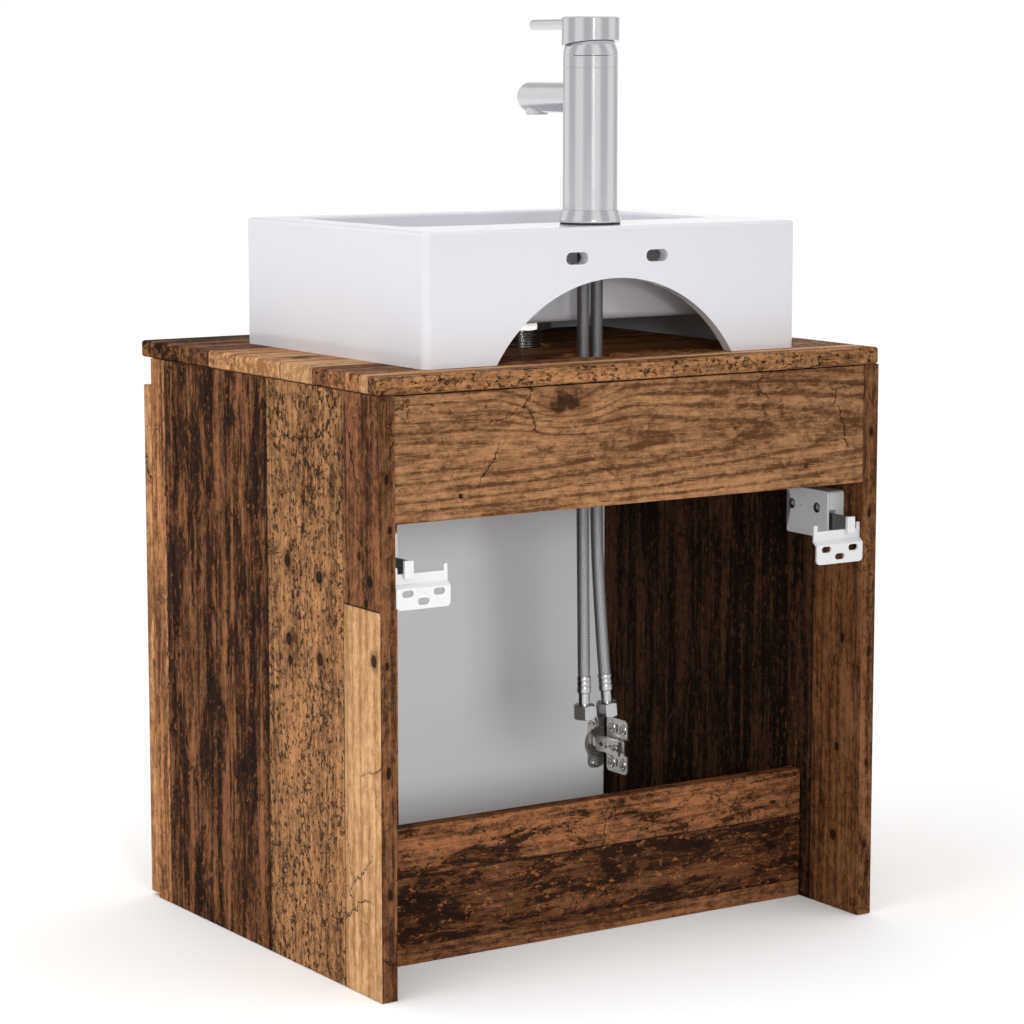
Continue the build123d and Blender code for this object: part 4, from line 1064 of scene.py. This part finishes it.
def makeTap(values):
    axisY = tapAxis[1]
    place = (0, axisY, 0)
    low, high = nodeBox("tap_body")
    base, radius = low[2], values["radius"]
    body = turnPiece("tap_column", place, [
        (base, 27.2), (base + 0.9, 28.3), (base + 1.8, 28.5), (base + 3.6, 28.4), (base + 6.5, 27.7),
        (base + 9.0, 26.95), (base + 11.0, 26.5), (base + 11.7, 26.2), (base + 12.0, 25.6), (base + 12.0, radius),
        (high[2] - 11.0, radius), (high[2] - 10.8, 24.6), (high[2] - 10.2, 24.6), (high[2] - 10.0, radius),
        (high[2] - 0.4, radius), (high[2], 24.7), (high[2], 22)], sides=96)
    finishPiece(body, "tap_body", "chrome", smooth=32)

    low, high = nodeBox("tap_cap_ring")
    pivot = values["pivot"]
    dome = values["radius"]
    steps = [(pivot + 0.3, 24.6), (pivot + 0.5, 24.99)]
    steps += [(pivot + rise, math.sqrt(dome * dome - rise * rise)) for rise in (2, 4, 6, 8, 10, 12, 14, 15.4)]
    steps += [(high[2], 18.6)]
    ring = turnPiece("tap_dome", place, steps, sides=96)
    cutWith(ring, drill((0, axisY, pivot - 1), (0, 0, 1), 16, 20))
    finishPiece(ring, "tap_cap_ring", "chrome", smooth=35)

    low, high = nodeBox("tap_head")
    top, radius = high[2], values["headRadius"]
    head = turnPiece("tap_handle_head", place, [
        (pivot + 2, radius), (top - 1.5, radius), (top - 0.9, radius - 0.2), (top - 0.35, radius - 0.65),
        (top, radius - 1.5), (top, radius - 5)], sides=96)
    slope = math.radians(values["rimSlope"])
    edit(head)
    bpy.ops.mesh.select_all(action="SELECT")
    bpy.ops.mesh.bisect(plane_co=(0, axisY * mm, (pivot + values["rimRise"]) * mm),
                        plane_no=(0, -math.sin(slope), math.cos(slope)), use_fill=True, clear_inner=True)
    faceOut()
    deselectAll()
    bpy.ops.mesh.primitive_uv_sphere_add(segments=72, ring_count=36, radius=values["cavity"] * mm,
                                         location=(0, axisY * mm, pivot * mm))
    cutWith(head, settle("cavity"))
    softenEdges(head, 0.5, 3, 40)
    finishPiece(head, "tap_head", "chrome", smooth=35)

    low, high = nodeBox("tap_lever_rod")
    reach, radius = high[1] - low[1], values["leverRadius"]
    lever = turnPiece("tap_lever_pin", (0, high[1], (low[2] + high[2]) / 2), [
        (0, radius), (reach - 2.5, radius), (reach - 1.5, radius - 0.2), (reach - 0.7, radius - 0.75),
        (reach - 0.2, radius - 1.55), (reach, radius - 2.5)], (0, -1, 0), 48)
    finishPiece(lever, "tap_lever_rod", "chrome", smooth=35)

    low, high = nodeBox("tap_spout")
    middle = (low[2] + high[2]) / 2
    radius, end = values["spoutRadius"], values["spoutEnd"]
    start = axisY - 22
    reach = start - low[1]
    turns = [math.radians(angle) for angle in (0, 15, 30, 45, 60, 75, 88)]
    steps = [(0, radius)] + [(reach - end + end * math.sin(t), radius - end + end * math.cos(t)) for t in turns]
    spout = turnPiece("tap_spout_tube", (0, start, middle), steps, (0, -1, 0), 72)
    low, high = nodeBox("tap_aerator")
    aeratorY = (low[1] + high[1]) / 2
    cutWith(spout, drill((0, aeratorY, low[2] - 2), (0, 0, 1), values["aeratorRadius"] + 0.1, 12))
    softenEdges(spout, 0.3, 2, 45)
    finishPiece(spout, "tap_spout", "chrome", smooth=35)

    radius = values["aeratorRadius"]
    aerator = turnPiece("tap_aerator_ring", (0, aeratorY, 0), [(low[2], radius - 0.9), (low[2] + 0.7, radius),
                                                               (high[2], radius)], sides=48)
    cutWith(aerator, drill((0, aeratorY, low[2] - 1), (0, 0, 1), radius - 2.3, 3.2))
    ribs = []
    for offset in (-4.4, -1.5, 1.5, 4.4):
        for x, y, wide, deep, tall in ((offset, 0, 0.3, 7.6, 2.6), (0, offset, 7.6, 0.3, 2.5)):
            ribs.append(addBlock("rib", (x - wide, aeratorY + y - deep, low[2] + 0.9),
                                 (x + wide, aeratorY + y + deep, low[2] + tall)))
    uniteWith(aerator, *ribs)
    softenEdges(aerator, 0.15, 1, 40)
    finishPiece(aerator, "tap_aerator", "grey_plastic")


makeTap(tap)
print("waste and tap turned")

# screws

screw = {"head": 3.6, "headHeight": 1.8, "shank": 1.8, "recess": 0.95}


def makeScrew(length, values):
    head, tall, shank = values["head"], values["headHeight"], values["shank"]
    piece = turnPiece("screwPattern", (0, 0, 0), [
        (-length, shank * 0.5), (-length + 1.2, shank), (0, shank), (0, head - 0.2), (0.25, head), (tall * 0.4, head),
        (tall * 0.75, head * 0.86), (tall * 0.94, head * 0.66), (tall, head * 0.45)], sides=32)
    half, arm = values["recess"] / 2, head * 0.62
    cross = [addBlock("recess", (-arm, -half, tall - 1.2), (arm, half, tall + 1)),
             addBlock("recess", (-half, -arm, tall - 1.2), (half, arm, tall + 1))]
    cutWith(piece, *cross)
    return softenEdges(piece, 0.12, 1, 40)


def setScrews(name, node, pattern, places):
    # places: where each head sits and the way it faces
    copies = [copyPiece(pattern, name + "_copy", place, way) for place, way in places]
    group = joinPieces(name, copies)
    return finishPiece(group, node, "zinc_steel", smooth=35)


# hinges, in each side's own measures: x in from the cabinet's side, y back from the panel's front edge

hinge = {
    "plateX": (16, 17.5), "plateY": (8, 46), "webY": (8, 40), "wing": (9, 29.5), "wingCorner": 5,
    "saddleX": (17.4, 23.8), "saddleY": (12, 38), "saddleHalf": 6,
    "plateScrewY": (17, 37), "plateScrewZ": 19, "armScrewY": (17, 33), "ring": (6.6, 4.3, 1.2),
    "armX": (23.8, 26.2), "armLength": 42, "armHalf": 8, "armFlange": 4.6, "armSheet": 1.4,
    "crank": [(8, -10), (18, -11.2), (23, -9), (25, -3), (25, 2)], "crankWidth": 10, "crankSheet": 2.4, "eye": 2.2,
    "cupX": 21.5, "cupRadius": 17.5, "cupDepth": 11.5, "cupWall": 0.8, "cupFloor": 0.5, "face": -2, "flange": 1,
    "flangeX": (14, 36), "flangeHalf": 28, "cupScrewX": 27, "cupScrewZ": 23,
}
panelLow, panelHigh = nodeBox("side_panel_left")


def fromHinge(x, y, z=0.0):
    return (panelLow[0] + x, panelLow[1] + y, z)


def hingeBlock(name, x, y, z, rounding=0.0, segments=0):
    block = addBlock(name, fromHinge(x[0], y[0], z[0]), fromHinge(x[1], y[1], z[1]))
    return bevelEdges(block, alongX, rounding, segments) if rounding else block


def makeHingePlate(values):
    low, high = values["wing"]
    plate = hingeBlock("platePattern", values["plateX"], values["plateY"], (-high, high), values["wingCorner"], 5)
    # the waist between the two wings, at the rear
    rear = (values["webY"][1], values["plateY"][1] + 1)
    cutWith(plate, hingeBlock("waist", (15, 20), rear, (-low, low), 2.5, 4))
    outer, inner, tall = values["ring"]
    face = values["plateX"][1]
    for y in values["plateScrewY"]:
        for side in (-1, 1):
            z = side * values["plateScrewZ"]
            profile = [(0, outer), (0.2 + tall * 0.5, outer - 0.2), (0.2 + tall, outer - 0.8)]
            uniteWith(plate, turnPiece("ring", fromHinge(face - 0.2, y, z), profile, (1, 0, 0), 40))
            cutWith(plate, drill(fromHinge(face, y, z), (1, 0, 0), inner, 3))
    slotY = sum(values["plateScrewY"]) / 2
    for z in (-values["plateScrewZ"], values["plateScrewZ"]):
        cutWith(plate, hingeBlock("slot", (15, 20), (slotY - 1.4, slotY + 1.4), (z - 4.5, z + 4.5), 1.3, 4))
    half = values["saddleHalf"]
    uniteWith(plate, hingeBlock("saddle", values["saddleX"], values["saddleY"], (-half, half), 1.5, 3))
    return softenEdges(plate, 0.25, 2, 40)


def makeHingeArm(values):
    low, high = values["armX"]
    half, sheet = values["armHalf"], values["armSheet"]
    arm = hingeBlock("armPattern", (low, high), (0, values["armLength"]), (-half, half))
    for side in (-1, 1):
        edges = sorted((side * half, side * (half - sheet)))
        rise = (high - 0.3 - values["armFlange"], high - 0.3)
        uniteWith(arm, hingeBlock("flange", rise, (1.5, values["armLength"] - 6), edges))
    slot = hingeBlock("slot", (low - 1, high + 1), (5, 12), (-2.2, 2.2), 2.1, 5)
    keyhole = hingeBlock("keyhole", (low - 1, high + 1), (24, 40), (-1.5, 1.5), 1.4, 4)
    notch = hingeBlock("notch", (low - 1, high + 1), (values["armLength"] - 4, values["armLength"] + 1), (-4, 4))
    cutWith(arm, slot, notch, keyhole)
    route = [fromHinge(x, y)[:2] for x, y in values["crank"]]
    crank = bendStrip("crank", route, 0, values["crankWidth"], values["crankSheet"] - 0.1, 1.6)
    eye = turnPiece("eye", fromHinge(*values["crank"][0], -values["crankWidth"] / 2),
                    [(0, values["eye"] - 0.3), (0.3, values["eye"]), (values["crankWidth"] - 0.3, values["eye"]),
                     (values["crankWidth"], values["eye"] - 0.3)], sides=32)
    uniteWith(arm, crank, eye)
    return softenEdges(arm, 0.3, 2, 45)


def makeHingeCup(values):
    radius, wall, face, flange = values["cupRadius"], values["cupWall"], values["face"], values["flange"]
    half = values["flangeHalf"]
    wing = hingeBlock("cupPattern", values["flangeX"], (face, face + flange), (-half, half))
    bevelEdges(wing, alongY, 8, 6)
    profile = [(0, radius + 1), (flange, radius + 1)]
    disc = turnPiece("disc", fromHinge(values["cupX"], face, 0), profile, (0, 1, 0), 72)
    cutWith(disc, hingeBlock("trim", (-5, 4.8), (face - 1, face + 3), (-25, 25)))
    body = turnPiece("cupBody", fromHinge(values["cupX"], face - values["cupDepth"], 0),
                     [(0, radius - 0.9), (0.9, radius), (values["cupDepth"] + 0.2, radius)], (0, 1, 0), 72)
    uniteWith(wing, disc, body)
    profile = [(0, radius - wall - 1.2), (1.2, radius - wall), (values["cupDepth"] + 3, radius - wall)]
    floor = fromHinge(values["cupX"], face - values["cupDepth"] + values["cupFloor"], 0)
    cutWith(wing, turnPiece("hollow", floor, profile, (0, 1, 0), 72))
    for side in (-1, 1):
        place = fromHinge(values["cupScrewX"], face + flange - 0.1, side * values["cupScrewZ"])
        uniteWith(wing, turnPiece("ring", place,
                         [(0, 5.2), (0.7, 4.9)], (0, 1, 0), 36))
    return softenEdges(wing, 0.2, 2, 45)


def makeHinges(values):
    patterns = {"plate": makeHingePlate(values), "arm": makeHingeArm(values), "cup": makeHingeCup(values)}
    longScrew, shortScrew = makeScrew(12, screw), makeScrew(8, screw)
    plateScrews, armScrews, cupScrews = [], [], {"left": [], "right": []}
    armFace, plateFace, cupFace = values["armX"][1], values["plateX"][1], values["face"] + values["flange"]
    for side in sides:
        turn = 1 if side == "left" else -1
        for level, height in cupHeights.items():
            end = "_" + side + "_" + level
            for part, pattern in patterns.items():
                name = "hinge_" + part + "_pressed" + end
                piece = copyPiece(pattern, name, (0, 0, height), mirrored=side == "right")
                node = "hinge_" + part + end
                finishPiece(piece, node, "nickel", smooth=40)
            for z in (-values["plateScrewZ"], values["plateScrewZ"]):
                for y in values["plateScrewY"]:
                    x, y, z2 = fromHinge(plateFace, y, height + z)
                    plateScrews.append(((turn * x, y, z2), (turn, 0, 0)))
            for y in values["armScrewY"]:
                x, y, z = fromHinge(armFace, y, height)
                armScrews.append(((turn * x, y, z), (turn, 0, 0)))
            for z in (-values["cupScrewZ"], values["cupScrewZ"]):
                x, y, z2 = fromHinge(values["cupScrewX"], cupFace, height + z)
                cupScrews[side].append(((turn * x, y, z2), (0, 1, 0)))
    setScrews("plate_screws", "hinge_plate_screws", longScrew, plateScrews)
    setScrews("arm_screws", "hinge_arm_screws", shortScrew, armScrews)
    for side in sides:
        setScrews("cup_screws_" + side, "hinge_cup_screws_" + side, longScrew, cupScrews[side])
    for pattern in (*patterns.values(), shortScrew):
        bpy.data.objects.remove(pattern)
    return longScrew


longScrew = makeHinges(hinge)
print("hinges pressed")

# hangers

hanger = {
    "boxCorner": 3, "screwY": (141, 179), "screwZ": 394, "dotY": (154, 166), "slot": (241.5, 249.5, 371.5, 393),
    "plateSheet": 2.2, "plateCorner": 4, "slotSize": (11.5, 6), "slotSpacing": 32, "slotUpper": 361,
    "slotLower": 353.5, "step": 365, "tabWidth": 4,
}


def makeHangerBox(values):
    low, high = nodeBox("hanger_box_left")
    box = bevelEdges(addBlock("boxPattern", low, high), alongX, values["boxCorner"], 4)
    inner, outer, slotLow, slotHigh = values["slot"]
    cutWith(box, addBlock("slot", (-outer, high[1] - 9, slotLow), (-inner, high[1] + 1, slotHigh)))
    for y in values["screwY"]:
        start = (high[0] - 3.4, y, values["screwZ"])
        cutWith(box, turnPiece("sink", start, [(0, 5.0), (4.2, 5.0)], (1, 0, 0), 40))
    for y in values["dotY"]:
        cutWith(box, drill((high[0] - 1.5, y, values["screwZ"]), (1, 0, 0), 1.2, 2))
    # the lid's joint line round the box
    groove = addBlock("groove", (high[0] - 3.0, low[1] - 1, low[2] - 1), (high[0] - 2.6, high[1] + 1, high[2] + 1))
    core = addBlock("core", (high[0] - 4, low[1] + 0.4, low[2] + 0.4), (high[0], high[1] - 0.4, high[2] - 0.4))
    cutWith(groove, bevelEdges(core, alongX, values["boxCorner"] - 0.3, 4))
    cutWith(box, groove)
    return softenEdges(box, 0.6, 2, 40)


def makeHook(values):
    low, high = nodeBox("hanger_hook_left")
    plateLow, plateHigh = nodeBox("wall_plate_left")
    middle = (low[0] + high[0]) / 2
    strap = addBlock("hookPattern", (middle - 1.25, low[1], low[2]), (middle + 1.25, high[1], high[2]))
    cutWith(strap, addBlock("notch", (middle - 3, plateLow[1] - 0.3, low[2] - 1),
                            (middle + 3, high[1] - 3.5, plateHigh[2])))
    uniteWith(strap, addBlock("lip", (low[0], high[1] - 3.5, low[2]), (high[0], high[1], high[2])))
    return softenEdges(strap, 0.4, 2, 40)


def makeWallPlate(values):
    low, high = nodeBox("wall_plate_left")
    sheet = values["plateSheet"]
    deselectAll()
    width, tall = high[0] - low[0], values["step"] - low[2]
    back = high[1] - sheet / 2
    centre = Vector(((low[0] + high[0]) / 2, back, low[2] + tall / 2)) * mm
    bpy.ops.mesh.primitive_plane_add(size=1, location=centre, rotation=(math.pi / 2, 0, 0))
    bpy.context.object.scale = (width * mm, tall * mm, 1)
    plate = settle("wallPlatePattern")
    edit(plate)
    pick(plate, "VERT", lambda vert: vert.co.z / mm < low[2] + 1)
    bpy.ops.mesh.bevel(offset=values["plateCorner"] * mm, segments=5, affect="VERTICES")
    pick(plate, "EDGE", lambda edge: atHeight(edge, values["step"]))
    forward = low[1] + sheet / 2 - back
    for step in ((0, forward, 3.6), (0, 0, high[2] - values["step"] - 3.6 - 6)):
        bpy.ops.mesh.extrude_region_move(TRANSFORM_OT_translate={"value": tuple(value * mm for value in step)})
    bpy.ops.object.mode_set(mode="OBJECT")
    # upright ears at both ends of the flange
    shapeWith(plate, "SOLIDIFY", thickness=sheet * mm, offset=0.0, use_even_offset=True)
    for start in (low[0], high[0] - values["tabWidth"]):
        ear = addBlock("ear", (start, low[1], high[2] - 8), (start + values["tabWidth"], low[1] + sheet, high[2]))
        bevelEdges(ear, lambda edge: alongY(edge) and edge.verts[0].co.z / mm > high[2] - 1, 1.2, 3)
        uniteWith(plate, ear)
    middle, half = (low[0] + high[0]) / 2, values["slotSpacing"] / 2
    slotWide, slotTall = values["slotSize"]
    for x, z in ((-half, values["slotUpper"]), (half, values["slotUpper"]), (0, values["slotLower"])):
        slot = addBlock("slot", (middle + x - slotWide / 2, high[1] - 5, z - slotTall / 2),
                        (middle + x + slotWide / 2, high[1] + 2, z + slotTall / 2))
        cutWith(plate, bevelEdges(slot, alongY, slotTall / 2 - 0.03, 6))
    return softenEdges(plate, 0.4, 2, 35)


def makeHangers(values):
    makers = {"hanger_box": makeHangerBox, "hanger_hook": makeHook, "wall_plate": makeWallPlate}
    patterns = {part: make(values) for part, make in makers.items()}
    looks = {"hanger_box": ("grey_plastic", [finishes["boxGrey"], finishes["strapSteel"]]),
             "hanger_hook": ("zinc_steel", [finishes["strapSteel"], finishes["whiteCoat"]]),
             "wall_plate": ("white_metal", [finishes["whiteCoat"]])}
    lipFront = nodeBox("hanger_hook_left")[1][1] - 3.6
    screws = []
    inner = nodeBox("hanger_box_left")[1][0]

    def inRecess(way, spot):
        return int(any(math.hypot(spot.y - y, spot.z - values["screwZ"]) < 5.1 for y in values["screwY"]))

    paints = {"hanger_box": inRecess, "hanger_hook": lambda way, spot: int(spot.y > lipFront)}
    for side in sides:
        turn = 1 if side == "left" else -1
        for part, pattern in patterns.items():
            node = part + "_" + side
            piece = copyPiece(pattern, node + "_shaped", mirrored=side == "right")
            slotName, materials = looks[part]
            finishPiece(piece, node, slotName, materials, paints.get(part), 40)
        screws += [((turn * (inner - 3.2), y, values["screwZ"]), (turn, 0, 0)) for y in values["screwY"]]
    setScrews("box_screws", "hanger_box_screws", longScrew, screws)
    for pattern in (*patterns.values(), longScrew):
        bpy.data.objects.remove(pattern)


makeHangers(hanger)
print("hangers bent")

# finishes of the carried-over nodes
for part in frame["record"]["subparts"]:
    node = frame["nodes"][part["node"]]
    node.data.materials.clear()
    node.data.materials.append(slotFinish[part["material_slot"]])
print("carried-over nodes finished")

# floor and light all round

def makeStudio(values):
    deselectAll()
    bpy.ops.mesh.primitive_plane_add(size=values["floorSize"], location=(0, 0, values["floorHeight"]))
    floor = settle("studioFloor")
    material, tree, shader = startMaterial("paleFloor", Roughness=0.9)
    soft = noise(stretched(ownPlace(tree), (0.8, 0.8, 0.8)), 3, 0.5)
    pale = values["floorTone"]
    tint = blendTone(soft, tuple(value * 0.99 for value in pale) + (1,), pale + (1,))
    wire(shader, {"Base Color": tint})
    floor.data.materials.append(material)

    scene = bpy.context.scene
    scene.view_settings.view_transform = "Standard"
    world = bpy.data.worlds.new("studioSky")
    scene.world = world
    world.use_nodes = True
    tree = world.node_tree
    sky = tree.nodes["Background"]
    east, north, up = axesOf(tree, "Generated")
    heading = calc("ARCTAN2", north, east)
    count, turn, bandLow, bandHigh, lowTone, highTone = values["bands"]
    bands = calc("SINE", calc("MULTIPLY_ADD", heading, count, turn))
    bands = fade(calc("MULTIPLY_ADD", bands, 0.5, 0.5), bandLow, bandHigh)
    path = put(tree, "ShaderNodeLightPath").outputs
    colour = blendTone(path["Is Glossy Ray"], values["skyTone"], blendTone(bands, lowTone, highTone))
    # brighter overhead than near the horizon, except where the camera sees it
    rise = calc("MULTIPLY_ADD", calc("POWER", up, 2.0), *values["overhead"])
    overhead = times(rise, values["skyStrength"])
    plain = calc("MAXIMUM", path["Is Camera Ray"], path["Is Glossy Ray"])
    gap = minus(values["seenStrength"], overhead)
    strength = calc("MULTIPLY_ADD", plain, gap, overhead)
    wire(sky, {"Color": colour, "Strength": strength})


makeStudio(studio)
